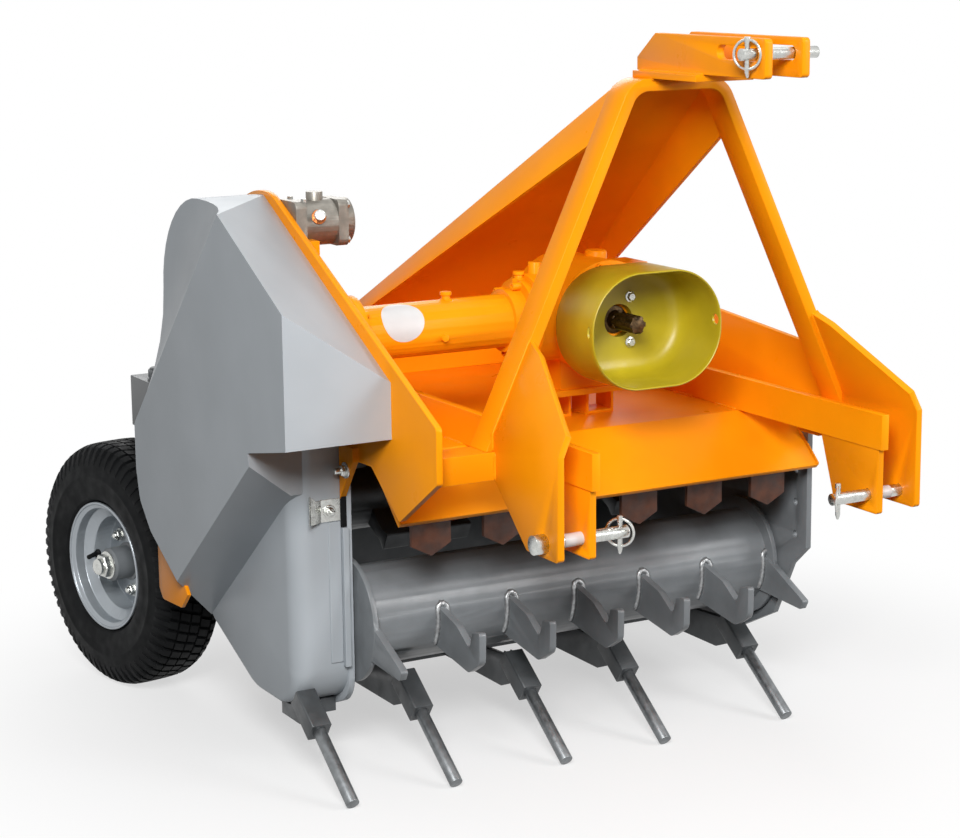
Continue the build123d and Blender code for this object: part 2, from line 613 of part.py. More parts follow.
NODES["splash_plate"] = splash_plate()


# Feed roller: drum with end discs, stub shafts and seven hooked plates

ROLLER_HALF = WALL_IN - RUN_GAP


def hook_face(pointed):
    """Outline in (forward, up) from the roller's axis, root just inside the drum."""
    if pointed:
        rows = [(84, 22, 0), (226, -46, 5), (216, -64, 5), (70, -56, 0)]
    else:
        rows = [(84, 22, 0), (160, 2, 40), (208, -30, 8), (220, 4, 4), (248, 10, 6), (246, -50, 20),
                (204, -76, 16), (70, -56, 0)]
    return rounded([(ROLLER_Y - u, ROLLER_Z + v, r) for u, v, r in rows])


def roller():
    shape = rod_x(ROLLER_Y, ROLLER_Z, ROLLER_R, -ROLLER_HALF, ROLLER_HALF)
    for x in (-ROLLER_HALF, ROLLER_HALF - DISC_T):
        shape += rod_x(ROLLER_Y, ROLLER_Z, DISC_R, x, x + DISC_T)
    shape += rod_x(ROLLER_Y, ROLLER_Z, ROLLER_SHAFT_R, -WALL_OUT + 1, WALL_OUT + 24)
    for i in range(HOOK_COUNT):
        x = (i - (HOOK_COUNT - 1) / 2) * HOOK_PITCH
        pointed = i in (0, HOOK_COUNT - 1)
        shape += along_x(hook_face(pointed), x - HOOK_T / 2, x + HOOK_T / 2)
    return shape


NODES["roller"] = roller()


# Hammer rotor over the open underside

def rotor():
    half = WALL_IN - RUN_GAP
    shape = rod_x(ROTOR_Y, ROTOR_Z, ROTOR_R, -half, half)
    shape += rod_x(ROTOR_Y, ROTOR_Z, ROTOR_SHAFT_R, -WALL_OUT + 1, WALL_OUT + 24)
    lug = [(-20, ROTOR_R - 8, 0), (20, ROTOR_R - 8, 0), (14, 118, 0), (22, HAMMER_TIP_R - 4, 4),
           (-22, HAMMER_TIP_R - 4, 4), (-14, 118, 0)]
    span = 2 * (half - 40 - HAMMER_W / 2)
    pitch = span / (HAMMERS_PER_ROW * HAMMER_ROWS - 1)
    hammer = along_x(rounded(lug), -HAMMER_W / 2, HAMMER_W / 2)
    for i in range(HAMMERS_PER_ROW * HAMMER_ROWS):
        turn = 360 / HAMMER_ROWS * (i % HAMMER_ROWS)
        shape += Pos(-span / 2 + i * pitch, ROTOR_Y, ROTOR_Z) * Rot(turn, 0, 0) * hammer
    return shape


NODES["rotor"] = rotor()


def bearings():
    """Flanged bearing housings of roller and rotor outside the right wall."""
    shapes = []
    for y, z, r in ((ROLLER_Y, ROLLER_Z, ROLLER_SHAFT_R), (ROTOR_Y, ROTOR_Z, ROTOR_SHAFT_R)):
        flange = along_x(Pos(y, z) * RectangleRounded(116, 116, 22), WALL_OUT, WALL_OUT + 14)
        nose = rod_x(y, z, 46, WALL_OUT + 14, WALL_OUT + 34)
        shapes.append(flange + nose - rod_x(y, z, r + FIT_GAP, WALL_OUT, WALL_OUT + 26))
    return Compound([housing.solid() for housing in shapes])


NODES["bearings_right"] = bearings()


# Tines: rods in square sleeves on gussets, on a beam behind the roller

TINE_DIR = (cos(radians(TINE_SLOPE)), sin(radians(TINE_SLOPE)))     # up and back along a rod
TINE_TIP_Z = TINE_ROD_R * TINE_DIR[0]                                # the end's lower rim is on the floor
SLEEVE_Y = TINE_TIP_Y + TINE_ROD_L * TINE_DIR[0]
SLEEVE_Z = TINE_TIP_Z + TINE_ROD_L * TINE_DIR[1]
STUB_BAR_Y = -125       # short bar of the outer tine, below the belt cover
STUB_BAR_Z = 100


def tine_frame(x, y, z):
    return Plane(origin=(x, y, z), x_dir=(1, 0, 0), z_dir=(0, TINE_DIR[0], TINE_DIR[1]))


def tool_beam():
    """Square beam with a gusset and a sleeve for each tine, the outer one on a short bar of its own."""
    y0, z0 = TOOL_BEAM_Y, TOOL_BEAM_Z
    outer_x = min(TINE_X)
    beam = box(-WALL_IN, WALL_IN, y0, y0 + TOOL_BEAM_W, z0, z0 + TOOL_BEAM_W)
    stub = box(outer_x - GUSSET_T / 2, -WALL_OUT, STUB_BAR_Y, STUB_BAR_Y + 40, STUB_BAR_Z, STUB_BAR_Z + 35)
    end_y = SLEEVE_Y + SLEEVE_L * TINE_DIR[0]
    end_z = SLEEVE_Z + SLEEVE_L * TINE_DIR[1]
    low_y = SLEEVE_Y + SLEEVE_L / 3 * TINE_DIR[0]
    low_z = SLEEVE_Z + SLEEVE_L / 3 * TINE_DIR[1]
    long_plate = sharp([(low_y, low_z), (end_y, end_z), (y0, z0 + TOOL_BEAM_W), (y0, z0), (end_y + 30, z0)])
    short_plate = sharp([(low_y, low_z), (end_y, end_z), (STUB_BAR_Y, STUB_BAR_Z + 35),
                         (STUB_BAR_Y, STUB_BAR_Z), (end_y, STUB_BAR_Z)])
    for x in TINE_X:
        plate = along_x(short_plate if x == outer_x else long_plate, x - GUSSET_T / 2, x + GUSSET_T / 2)
        frame = tine_frame(x, SLEEVE_Y, SLEEVE_Z)
        arm = plate + extrude(frame * RectangleRounded(SLEEVE_W, SLEEVE_W, 4), SLEEVE_L)
        arm -= extrude(frame * Circle(TINE_ROD_R), SLEEVE_L / 2)
        if x == outer_x:
            stub += arm
        else:
            beam += arm
    stub -= along_x(offset(rounded(COVER_LOW_ROWS), COVER_T), -COVER_MID - COVER_T, -WALL_OUT)
    return Compound(beam.solids() + stub.solids())


def tine_rods():
    rods = []
    for x in TINE_X:
        rod = extrude(tine_frame(x, TINE_TIP_Y, TINE_TIP_Z) * Circle(TINE_ROD_R), TINE_ROD_L + SLEEVE_L / 2)
        rods.append(rod.solid())
    return Compound(rods)


NODES["tool_beam"] = tool_beam()
NODES["tine_rods"] = tine_rods()


# Wheels on stub axles

WHEEL_MID = WALL_OUT + WHEEL_CLEAR + WHEEL_W / 2
ARM_OUT = WALL_OUT + ARM_T
ARM_AXLE_Y = WHEEL_Y + (WHEEL_MID - ARM_OUT) * tan(radians(WHEEL_TOE))
HUB_R = 33
HUB_HALF = 54
DROP_R = 104            # drop centre of the rim


def wheel_frame(side):
    """Place of a wheel, its own X along the axle."""
    return Pos(side * WHEEL_MID, WHEEL_Y, WHEEL_R) * Rot(0, 0, -side * WHEEL_TOE)


def ring_x(rows, side):
    """Body of revolution on a wheel's axle from (outward, radius) rows."""
    return wheel_frame(side) * revolve(sharp([(side * u, v) for u, v in rows]), Axis.X)


def tyre(side):
    half = WHEEL_W / 2
    rows = [(half - 18, BEAD_R), (half - 15, BEAD_R + 9), (half - 6, BEAD_R + 16), (half - 1, 165),
            (half, 190), (half - 3, WHEEL_R - 38), (half - 10, WHEEL_R - 18), (half - 20, WHEEL_R - 6),
            (half - 34, WHEEL_R - 1), (half - 55, WHEEL_R)]
    return ring_x(rows + [(-u, v) for u, v in reversed(rows)], side)


def rim(side):
    """Pressed rim with a drop centre, a dished disc and its hub."""
    lip = WHEEL_W / 2 - 7
    seat = BEAD_R
    outer = [(lip, seat + 8), (lip - 6, seat + 8), (lip - 10, seat), (lip - 26, seat), (lip - 38, DROP_R)]
    inner = [(lip, seat + 3), (lip - 3, seat + 3), (lip - 7, seat - 6), (lip - 28, seat - 6),
             (lip - 40, DROP_R - 6)]
    rows = outer + [(-u, v) for u, v in reversed(outer)] + [(-u, v) for u, v in inner]
    barrel = ring_x(rows + list(reversed(inner)), side)
    disc = ring_x([(6, HUB_R - 4), (-12, DROP_R - 3), (-20, DROP_R - 3), (-2, HUB_R - 4)], side)
    bore = AXLE_R + FIT_GAP
    hub = ring_x([(-HUB_HALF, bore), (HUB_HALF, bore), (HUB_HALF, HUB_R - 6), (HUB_HALF - 8, HUB_R),
                  (-HUB_HALF, HUB_R)], side)
    return barrel + disc + hub


def wheel_arm(side):
    """Plate bolted to the side wall."""
    rows = [(372, 330, 12), (372, 512, 12), (476, 512, 20), (ARM_AXLE_Y + 52, WHEEL_R + 45, 40),
            (ARM_AXLE_Y + 40, WHEEL_R - 55, 46), (ARM_AXLE_Y - 46, WHEEL_R - 55, 40)]
    return along_x(rounded(rows), min(side * WALL_OUT, side * ARM_OUT), max(side * WALL_OUT, side * ARM_OUT))


def axle(side):
    """Stub axle on the arm, with the nut that holds the hub."""
    shape = None
    for u0, u1, r in ((-200, -HUB_HALF - 2, AXLE_R + 8), (-HUB_HALF - 2, HUB_HALF + 14, AXLE_R)):
        rod = wheel_frame(side) * along_x(Circle(r), min(side * u0, side * u1), max(side * u0, side * u1))
        shape = rod if shape is None else shape + rod
    nut_in, nut_out = side * (HUB_HALF + 2), side * (HUB_HALF + 18)
    nut = along_x(RegularPolygon(AXLE_R + 6, 6), min(nut_in, nut_out), max(nut_in, nut_out))
    return keep_side(shape + wheel_frame(side) * nut, (side * ARM_OUT, 0, 0), (-side, 0, 0))


for name, side in (("left", -1), ("right", 1)):
    NODES[f"tyre_{name}"] = tyre(side)
    NODES[f"rim_{name}"] = rim(side)
    NODES[f"wheel_arm_{name}"] = wheel_arm(side)
    NODES[f"axle_{name}"] = axle(side)

for name, shape in NODES.items():
    export_step(shape, f"parts/{name}.step")
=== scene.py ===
"""Looks of a pruning shredder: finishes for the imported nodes, and the small pieces that go on them.

Tables and mesh helpers are in millimetres. Properties, the stage and Blender's own values are in metres.
+X is to the right seen from the tractor, +Y to the rear.
"""
import json
import math
import random
from typing import NamedTuple

import bmesh
import bpy
from mathutils import Matrix, Vector


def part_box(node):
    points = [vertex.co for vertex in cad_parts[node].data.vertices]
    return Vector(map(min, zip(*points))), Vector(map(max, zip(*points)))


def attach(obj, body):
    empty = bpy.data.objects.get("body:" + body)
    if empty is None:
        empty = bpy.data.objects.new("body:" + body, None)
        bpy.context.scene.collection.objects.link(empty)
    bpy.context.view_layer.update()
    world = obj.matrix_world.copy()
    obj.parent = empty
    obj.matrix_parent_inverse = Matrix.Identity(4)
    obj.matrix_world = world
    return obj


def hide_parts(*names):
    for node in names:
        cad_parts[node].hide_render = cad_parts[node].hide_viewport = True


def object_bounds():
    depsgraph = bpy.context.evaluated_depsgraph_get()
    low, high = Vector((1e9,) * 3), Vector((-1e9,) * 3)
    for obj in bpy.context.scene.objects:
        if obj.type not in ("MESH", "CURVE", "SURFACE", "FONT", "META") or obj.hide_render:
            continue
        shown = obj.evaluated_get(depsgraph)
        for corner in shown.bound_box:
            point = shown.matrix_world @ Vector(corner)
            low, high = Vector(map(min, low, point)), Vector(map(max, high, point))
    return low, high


bl_info = {
    "name": "Pruning Shredder Looks",
    "version": (1, 0, 0),
    "blender": (4, 5, 0),
    "location": "3D View > Sidebar > Shredder",
    "description": "Finishes, tread, welds and fasteners of a tractor-mounted pruning shredder",
    "category": "Object",
}

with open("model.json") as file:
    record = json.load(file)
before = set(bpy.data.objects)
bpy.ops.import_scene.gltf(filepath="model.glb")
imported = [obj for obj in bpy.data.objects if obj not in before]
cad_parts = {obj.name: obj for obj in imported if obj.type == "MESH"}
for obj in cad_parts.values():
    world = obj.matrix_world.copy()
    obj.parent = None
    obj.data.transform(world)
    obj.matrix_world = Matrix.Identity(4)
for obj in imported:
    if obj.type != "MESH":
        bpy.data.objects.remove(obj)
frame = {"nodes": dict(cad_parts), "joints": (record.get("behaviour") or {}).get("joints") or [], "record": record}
CAD_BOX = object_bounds()
NODES = frame["nodes"]
SLOT_OF = {row["node"]: row["material_slot"] for row in frame["record"]["subparts"]}
JOINT_AT = {joint["name"]: Vector(joint["pos_m"]) for joint in frame["joints"]}
AXIS_OF = {joint["name"]: Vector(joint["axis"]).normalized() for joint in frame["joints"]}
MM = 0.001


def hex_to_linear(code):
    """Linear colour from an sRGB hex value such as "F58220"."""
    channels = [int(code[i:i + 2], 16) / 255 for i in (0, 2, 4)]
    return tuple(c / 12.92 if c <= 0.04045 else ((c + 0.055) / 1.055) ** 2.4 for c in channels)


def add_node(tree, kind, settings=None, links=None):
    """New node with its settings, by property or socket name, and links from (node, socket) pairs."""
    node = tree.nodes.new(kind)
    for name, value in (settings or {}).items():
        if isinstance(name, str) and hasattr(node, name):
            setattr(node, name, value)
        else:
            node.inputs[name].default_value = value
    for name, (source, socket) in (links or {}).items():
        tree.links.new(source.outputs[socket], node.inputs[name])
    return node


def colour_prop(name, description, code):
    return bpy.props.FloatVectorProperty(
        name=name, description=description, subtype="COLOR", size=3, min=0, max=1,
        default=hex_to_linear(code))


def length_prop(name, description, mm):
    return bpy.props.FloatProperty(
        name=name, description=description, subtype="DISTANCE", unit="LENGTH", min=0, default=mm * MM)


class ShredderColours(bpy.types.PropertyGroup):
    """Colours of the finishes"""
    enamel: colour_prop("Enamel", "Orange enamel of the frame and hood", "FF9A0A")
    silver: colour_prop("Silver paint", "Silver paint of the belt cover", "AEB4B9")
    charcoal: colour_prop("Charcoal paint", "Dark paint of the tines' sleeves and the rear sheet", "4E5153")
    tank: colour_prop("Tank paint", "Grey paint of the oil tank", "4C4F51")
    guard: colour_prop("Guard", "Olive yellow of the moulded guard", "B4A21E")
    rim: colour_prop("Rim paint", "Pale silver paint of the rims", "A4AAAF")
    rubber: colour_prop("Rubber", "Black of the tyres", "111213")
    rod: colour_prop("Drawn steel", "Dark drawn bar of the tines", "7E8183")
    zinc: colour_prop("Zinc", "Zinc plating of bolts and pins", "C9CAC6")
    oiled: colour_prop("Oiled steel", "Input stub under old oil", "4B3A26")
    cast: colour_prop("Cast aluminium", "Body of the pump", "8C8880")
    drum: colour_prop("Roller paint", "Grey paint of the feed roller and the right wall", "74787B")
    # dark brown that stands in for the shadow on the counter teeth inside the intake: painted shade
    dust: colour_prop("Dusty enamel", "Enamel of the intake, darkened as painted shade", "42200C")
    bead: colour_prop("Weld metal", "Weld metal under a thin coat", "A3A5A6")
    copper: colour_prop("Copper", "Sealing ring at the pump", "B06A3C")
    film: colour_prop("White film", "Plain white film and paper", "CDCECE")
    floor: colour_prop("Floor", "Pale studio floor", "F0F0F0")


class ShredderSizes(bpy.types.PropertyGroup):
    """Sizes of the small pieces"""
    edge: length_prop("Edge break", "Rounding of the plates' edges", 1.4)
    weld: length_prop("Weld bead", "Radius of a weld bead along the plates", 3.2)
    hook_weld: length_prop("Hook weld", "Radius of the beads round the roller's hooks", 6.0)
    tread: length_prop("Tread depth", "Depth of the tread between the blocks", 7.0)


def paints():
    return bpy.context.scene.shredder_colours


def sizes():
    return bpy.context.scene.shredder_sizes


# Finishes

MOTTLE_SPAN = (0.35, 0.65)      # part of the noise over which a colour goes from dark to light
MOTTLE_DETAIL = 4.0
PATCH_SPAN = (0.3, 0.7)         # the same for the roughness
PATCH_DETAIL = 5.0


def start_material(name, colour, metallic, roughness, specular):
    """Material with one principled shader, its colour set, and texture coordinates in metres."""
    material = bpy.data.materials.new(name)
    material.use_nodes = True
    tree = material.node_tree
    shader = tree.nodes["Principled BSDF"]
    shader.inputs["Base Color"].default_value = (*colour, 1)
    shader.inputs["Metallic"].default_value = metallic
    shader.inputs["Roughness"].default_value = roughness
    shader.inputs["Specular IOR Level"].default_value = specular
    coords = add_node(tree, "ShaderNodeTexCoord")
    return material, tree, shader, (coords, "Object")


def noise_of(tree, coords, size_mm, detail):
    """Noise with a pattern about this size."""
    settings = {"Scale": 1000 / size_mm, "Detail": detail}
    return add_node(tree, "ShaderNodeTexNoise", settings, {"Vector": coords})


def mottle(tree, shader, coords, colour, size_mm, low, high):
    """Base colour that drifts between a darker and a lighter share of itself."""
    noise = noise_of(tree, coords, size_mm, MOTTLE_DETAIL)
    ramp = add_node(tree, "ShaderNodeValToRGB", links={"Fac": (noise, "Fac")})
    for element, position, share in zip(ramp.color_ramp.elements, MOTTLE_SPAN, (low, high)):
        element.position = position
        element.color = (*(min(c * share, 1) for c in colour), 1)
    tree.links.new(ramp.outputs["Color"], shader.inputs["Base Color"])


def rough_patches(tree, shader, coords, size_mm, low, high):
    """Roughness that drifts between two values."""
    noise = noise_of(tree, coords, size_mm, PATCH_DETAIL)
    limits = {"From Min": PATCH_SPAN[0], "From Max": PATCH_SPAN[1], "To Min": low, "To Max": high}
    spread = add_node(tree, "ShaderNodeMapRange", limits, {"Value": (noise, "Fac")})
    tree.links.new(spread.outputs["Result"], shader.inputs["Roughness"])


def grain(tree, shader, coords, size_mm, depth_mm, detail=2.0):
    """Fine bump of one grain size."""
    noise = noise_of(tree, coords, size_mm, detail)
    settings = {"Strength": 1.0, "Distance": depth_mm * MM}
    bump = add_node(tree, "ShaderNodeBump", settings, {"Height": (noise, "Fac")})
    tree.links.new(bump.outputs["Normal"], shader.inputs["Normal"])


class Finish(NamedTuple):
    """A real finish: its colour property, base values, and the patterns that break it up."""
    colour: str
    metallic: float
    roughness: float
    specular: float
    mottle: tuple       # size in mm, darkest and lightest share of the colour
    patches: tuple      # size in mm, least and greatest roughness
    grain: tuple        # size in mm, depth in mm, detail; flake, sand and pores are finer than the 1 to 2 mm
    #                     that they are drawn at here, so that they show


FINISH_ROWS = {
    # sprayed gloss enamel over plate: clear highlights, with orange peel a few millimetres wide
    "orange_enamel": Finish("enamel", 0.0, 0.32, 0.12, (180, 0.94, 1.05), (90, 0.26, 0.40), (5.0, 0.05)),
    # satin silver paint over folded sheet: fine metal flake gives broad soft highlights
    "silver_paint": Finish("silver", 0.10, 0.40, 0.08, (260, 0.95, 1.04), (120, 0.32, 0.42), (2.0, 0.012)),
    # thin dark paint over mill-scaled steel: satin, with faint scuffs and rolling marks
    "charcoal_paint": Finish("charcoal", 0.35, 0.40, 0.5, (45, 0.86, 1.1), (30, 0.3, 0.5), (3, 0.06, 4)),
    # semi-gloss grey paint over welded sheet
    "tank_enamel": Finish("tank", 0.2, 0.4, 0.5, (70, 0.92, 1.06), None, (3.0, 0.03)),
    # drawn round bar with a thin dark finish: brighter than the painted plates beside it
    "drawn_steel": Finish("rod", 0.85, 0.34, 0.5, (16, 0.85, 1.15), (12, 0.30, 0.48), (1.6, 0.02)),
    # bright zinc plating over steel: a pale metal with a faint cloudy bloom
    "zinc_plate": Finish("zinc", 1.0, 0.25, 0.5, (9, 0.86, 1.05), (6, 0.18, 0.36), (1.2, 0.008)),
    # machined shaft under old oil: dark brown steel with bright worn patches
    "oiled_steel": Finish("oiled", 0.85, 0.35, 0.5, (7, 0.5, 1.7), None, (1.0, 0.02)),
    # moulded polyethylene: waxy satin olive yellow that lets a little light into its wall
    "guard_polymer": Finish("guard", 0.0, 0.36, 0.5, (60, 0.94, 1.05), (35, 0.30, 0.44), (4.0, 0.03)),
    # die-cast aluminium, as blasted: dull pale metal with a fine sandy skin
    "cast_aluminium": Finish("cast", 0.75, 0.42, 0.5, (14, 0.85, 1.06), None, (1.5, 0.05)),
    # moulded rubber: near black, a dull sheen from mould oil, and fine pores
    "moulded_rubber": Finish("rubber", 0.0, 0.62, 0.1, (40, 0.8, 1.35), (25, 0.52, 0.72), (1.8, 0.05)),
    # pale silver paint over pressed steel, glossier than the cover's
    "rim_silver": Finish("rim", 0.55, 0.32, 0.5, (80, 0.95, 1.04), None, (3.0, 0.02)),
    # thin grey paint over a rolled tube: a broad soft sheen with faint rolling marks
    "roller_paint": Finish("drum", 0.0, 0.34, 0.5, (60, 0.90, 1.08), (40, 0.28, 0.40), (3.0, 0.04, 4.0)),
    # enamel darkened to a dull dark brown as painted shade, for the counter teeth that sit in shadow inside the
    # intake; matt, with a wide random drift of tone
    "dusty_enamel": Finish("dust", 0.0, 0.55, 0.5, (30, 0.6, 1.5), (20, 0.45, 0.7), (3.0, 0.05)),
    # weld metal under a thin coat: paler than the tube, bright on its ripples
    "thin_paint_bead": Finish("bead", 0.7, 0.36, 0.5, (6, 0.7, 1.15), None, (2.0, 0.15)),
    # soft copper sealing ring, a little tarnished
    "copper_washer": Finish("copper", 1.0, 0.34, 0.5, (5, 0.75, 1.1), None, (1.2, 0.01)),
    # plain white film, smooth and faintly uneven where it is stuck down
    "white_vinyl": Finish("film", 0.0, 0.35, 0.5, (20, 0.96, 1.0), None, (8.0, 0.03)),
}
EXTRA_SOCKETS = {
    "guard_polymer": {"IOR": 1.51, "Subsurface Weight": 0.08, "Subsurface Radius": (0.006, 0.005, 0.001)},
}
SLOT_FINISHES = {
    "orange_paint": "orange_enamel",
    "grey_paint": "silver_paint",
    "tank_paint": "tank_enamel",
    "dark_paint": "charcoal_paint",
    "tine_steel": "drawn_steel",
    "zinc_steel": "zinc_plate",
    "bare_steel": "oiled_steel",
    "guard_plastic": "guard_polymer",
    "pump_aluminium": "cast_aluminium",
    "tyre_rubber": "moulded_rubber",
    "rim_paint": "rim_silver",
}
# the counter teeth take a dark brown enamel as painted shade
NODE_FINISHES = {"roller": "roller_paint", "side_wall_right": "roller_paint", "counter_teeth": "dusty_enamel"}


def finish_of(name):
    """A finish, made when it is first asked for. Its name is no slot's: the frame brings those along."""
    made = bpy.data.materials.get(name)
    if made:
        return made
    row = FINISH_ROWS[name]
    colour = getattr(paints(), row.colour)
    material, tree, shader, coords = start_material(name, colour, row.metallic, row.roughness, row.specular)
    for socket, value in EXTRA_SOCKETS.get(name, {}).items():
        shader.inputs[socket].default_value = value
    mottle(tree, shader, coords, colour, *row.mottle)
    if row.patches:
        rough_patches(tree, shader, coords, *row.patches)
    grain(tree, shader, coords, *row.grain)
    return material


MERGE_MM = 0.02             # corners closer than this are one
FLAT_DEGREES = 0.4          # faces this close to one plane are one
EDGE_DEGREES = 32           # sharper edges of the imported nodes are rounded
PIECE_EDGE_DEGREES = 30     # the same for the small pieces
EDGE_SEGMENTS = 2


def break_edges(target, width, degrees):
    """Round the edges of an object that are sharper than an angle."""
    edge = target.modifiers.new("edge", "BEVEL")
    edge.width = width
    edge.segments = EDGE_SEGMENTS
    edge.limit_method = "ANGLE"
    edge.angle_limit = math.radians(degrees)
    edge.harden_normals = True


class SHREDDER_OT_finishes(bpy.types.Operator):
    """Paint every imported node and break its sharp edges"""
    bl_idname = "shredder.finishes"
    bl_label = "Finishes"

    def execute(self, context):
        for name, node in NODES.items():
            node.data.materials.clear()
            node.data.materials.append(finish_of(NODE_FINISHES.get(name) or SLOT_FINISHES[SLOT_OF[name]]))
            node.data.shade_smooth()
            merge = node.modifiers.new("merge", "WELD")
            merge.merge_threshold = MERGE_MM * MM
            flat = node.modifiers.new("flat", "DECIMATE")
            flat.decimate_type = "DISSOLVE"
            flat.angle_limit = math.radians(FLAT_DEGREES)
            break_edges(node, sizes().edge, EDGE_DEGREES)
        return {"FINISHED"}


# Mesh helpers: sizes in millimetres

def across_of(out):
    """A direction at right angles to the given one."""
    side = out.cross(Vector((0, 0, 1)))
    if side.length < 0.01:
        side = Vector((1, 0, 0))
    return side.normalized()


def spoke(across, up, angle):
    """Direction at an angle in the plane of two others."""
    return across * math.cos(angle) + up * math.sin(angle)


def turned(net, at, out, rows, sides, joined=False):
    """Rings along a direction from (height, radius) rows: capped at both ends, or joined to a closed ring."""
    out = Vector(out).normalized()
    across = across_of(out)
    up = out.cross(across)
    rings = []
    for height, radius in rows:
        middle = Vector(at) + out * height
        turns = [math.tau * i / sides for i in range(sides)]
        rings.append([net.verts.new((middle + spoke(across, up, a) * radius) * MM) for a in turns])
    if joined:
        skin(net, rings, joined)
    else:
        capped(net, rings)


def turned_parts(net, at, out, parts):
    """Several turned bodies on one axis, from rows and sides."""
    for rows, sides in parts:
        turned(net, at, out, rows, sides)


def skin(net, rings, joined=False):
    """Faces between neighbouring rings of the same count."""
    pairs = list(zip(rings, rings[1:]))
    if joined:
        pairs.append((rings[-1], rings[0]))
    for low, high in pairs:
        for i in range(len(low)):
            j = (i + 1) % len(low)
            net.faces.new((low[i], low[j], high[j], high[i]))


def capped(net, rings):
    """Faces between neighbouring rings, and over the first and the last of them."""
    skin(net, rings)
    net.faces.new(rings[0][::-1])
    net.faces.new(rings[-1])


def block(net, low, high):
    """Closed body between two lists of corners, in the same order."""
    capped(net, [[net.verts.new(Vector(p) * MM) for p in corners] for corners in (low, high)])


BEAD_SIDES = 8
BEAD_ENDS = (0.45, 0.9)         # shares of the radius at the ends
BEAD_RIPPLE = (0.9, 1.1)        # shares of the radius by turns
BEAD_SPREAD = (0.93, 1.07)      # limits of the random share


def bead(net, points, radius, draw):
    """Rippled weld bead along a line of points, with rounded ends."""
    line = [Vector(p) for p in points]
    stations = []
    for start, end in zip(line, line[1:]):
        count = max(2, round((end - start).length / radius))
        stations += [start.lerp(end, i / count) for i in range(count)]
    stations.append(line[-1])
    across = across_of(line[1] - line[0])
    rings = []
    for i, at in enumerate(stations):
        ahead = (stations[min(i + 1, len(stations) - 1)] - stations[max(i - 1, 0)]).normalized()
        across = (across - ahead * across.dot(ahead)).normalized()
        up = ahead.cross(across)
        from_end = min(i, len(stations) - 1 - i)
        swell = BEAD_ENDS[from_end] if from_end < len(BEAD_ENDS) else 1.0
        size = radius * swell * BEAD_RIPPLE[i % 2] * draw.uniform(*BEAD_SPREAD)
        turns = [math.tau * k / BEAD_SIDES for k in range(BEAD_SIDES)]
        rings.append([net.verts.new((at + spoke(across, up, a) * size) * MM) for a in turns])
    capped(net, rings)


def make_piece(name, net, body, slot, finish=None, crease=34, edge_mm=0.0):
    """Object from a net that rides on a body, with its slot's finish or one of its own."""
    bmesh.ops.recalc_face_normals(net, faces=net.faces)
    mesh = bpy.data.meshes.new(name)
    net.to_mesh(mesh)
    net.free()
    mesh.materials.append(finish_of(finish or SLOT_FINISHES[slot]))
    mesh.shade_smooth()
    mesh.set_sharp_from_angle(angle=math.radians(crease))
    piece = bpy.data.objects.new(name, mesh)
    bpy.context.scene.collection.objects.link(piece)
    if edge_mm:
        break_edges(piece, edge_mm * MM, PIECE_EDGE_DEGREES)
    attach(piece, body)
    return piece


# Tyres, nuts and valves

SIDES = (("left", -1), ("right", 1))
TREAD_PITCHES = 64
TYRE_STEPS = 128
CROWN = ((0, 255), (20, 255), (41, 254), (55, 249.5), (65, 238), (72, 218))     # across, radius
CARCASS = (
    # across, radius, from the bead to the middle of the tread
    (57, 126), (60, 135), (69, 142), (73.2, 156), (74.6, 170), (74.8, 184), (76, 187), (76, 191),
    (74.8, 194), (73.6, 205), (71, 218), (65, 230), (57, 240), (48, 245), (34, 247.4), (16, 248), (0, 248),
)
SKEW_MM = 20                # width of tread over which a row leans by its skew
BLOCK_ROOT_MM = 2           # how far the tread blocks go into the carcass
BLOCK_DRAFT = 0.06          # draw-in of a block's top, in pitches
TREAD_ROWS = (
    # across rows, shift in pitches, share of the pitch, skew in pitches
    ((-10, 10), 0.0, 0.80, 0.25),
    ((14, 25, 37), 0.35, 0.82, 0.30),
    ((-37, -25, -14), 0.35, 0.82, 0.30),
    ((41, 50, 57), 0.70, 0.78, 0.15),
    ((-57, -50, -41), 0.70, 0.78, 0.15),
    ((56, 65, 72.6), 0.70, 0.52, 0.0),
    ((-72.6, -65, -56), 0.70, 0.52, 0.0),
)
HUB_ROWS = ((4, 40), (7, 40), (9, 34.5), (50, 34.5), (54.6, 30), (54.6, 22), (4, 22))     # height, radius
HUB_SIDES = 48
NUT_CIRCLE_MM = 62
NUT_COUNT = 5
NUT_TURN = 0.3              # turn of the first nut, in pitches
NUT_SEAT_MM = -3
NUT_PARTS = (
    # rows of height and radius, sides: washer, nut, stud
    (((0, 15), (2.5, 15), (3.2, 14.4)), 24),
    (((2, 11.5), (11, 11.5), (13, 10)), 6),
    (((10, 8), (15, 8), (19, 5.6), (20.5, 2.4)), 16),
)
VALVE_CIRCLE_MM = 99
VALVE_SEAT_MM = 22
VALVE_LEAN = (0.86, 0.5)    # outward, towards the axle
VALVE_PARTS = (
    # rows of height and radius, sides: stem, cap
    (((-3, 9), (2, 9), (5, 5.6), (26, 4.4), (27, 4.0)), 20),
    (((26, 4.9), (35, 4.9), (36.5, 3.4)), 12),
)
AXLE_END_PARTS = (
    # rows of height and radius, sides: washer, nut, end of the axle
    (((54.2, 29), (57, 29), (57.6, 28)), 32),
    (((57, 25), (70, 25), (73, 22)), 6),
    (((72, 17), (80, 17), (84, 13.5), (85.5, 8)), 24),
)


def crown_at(across):
    """Radius of the tread's top at a place across the tyre."""
    place = abs(across)
    for (a, r_a), (b, r_b) in zip(CROWN, CROWN[1:]):
        if place <= b:
            return r_a + (r_b - r_a) * (place - a) / (b - a)
    return CROWN[-1][1]


def wheel_axes(name, side):
    """Middle of a wheel in mm, its outward axle and two directions across it."""
    at = JOINT_AT[f"wheel_{name}_turn"] / MM
    out = AXIS_OF[f"wheel_{name}_turn"] * side
    across = across_of(out)
    return at, out, across, out.cross(across)


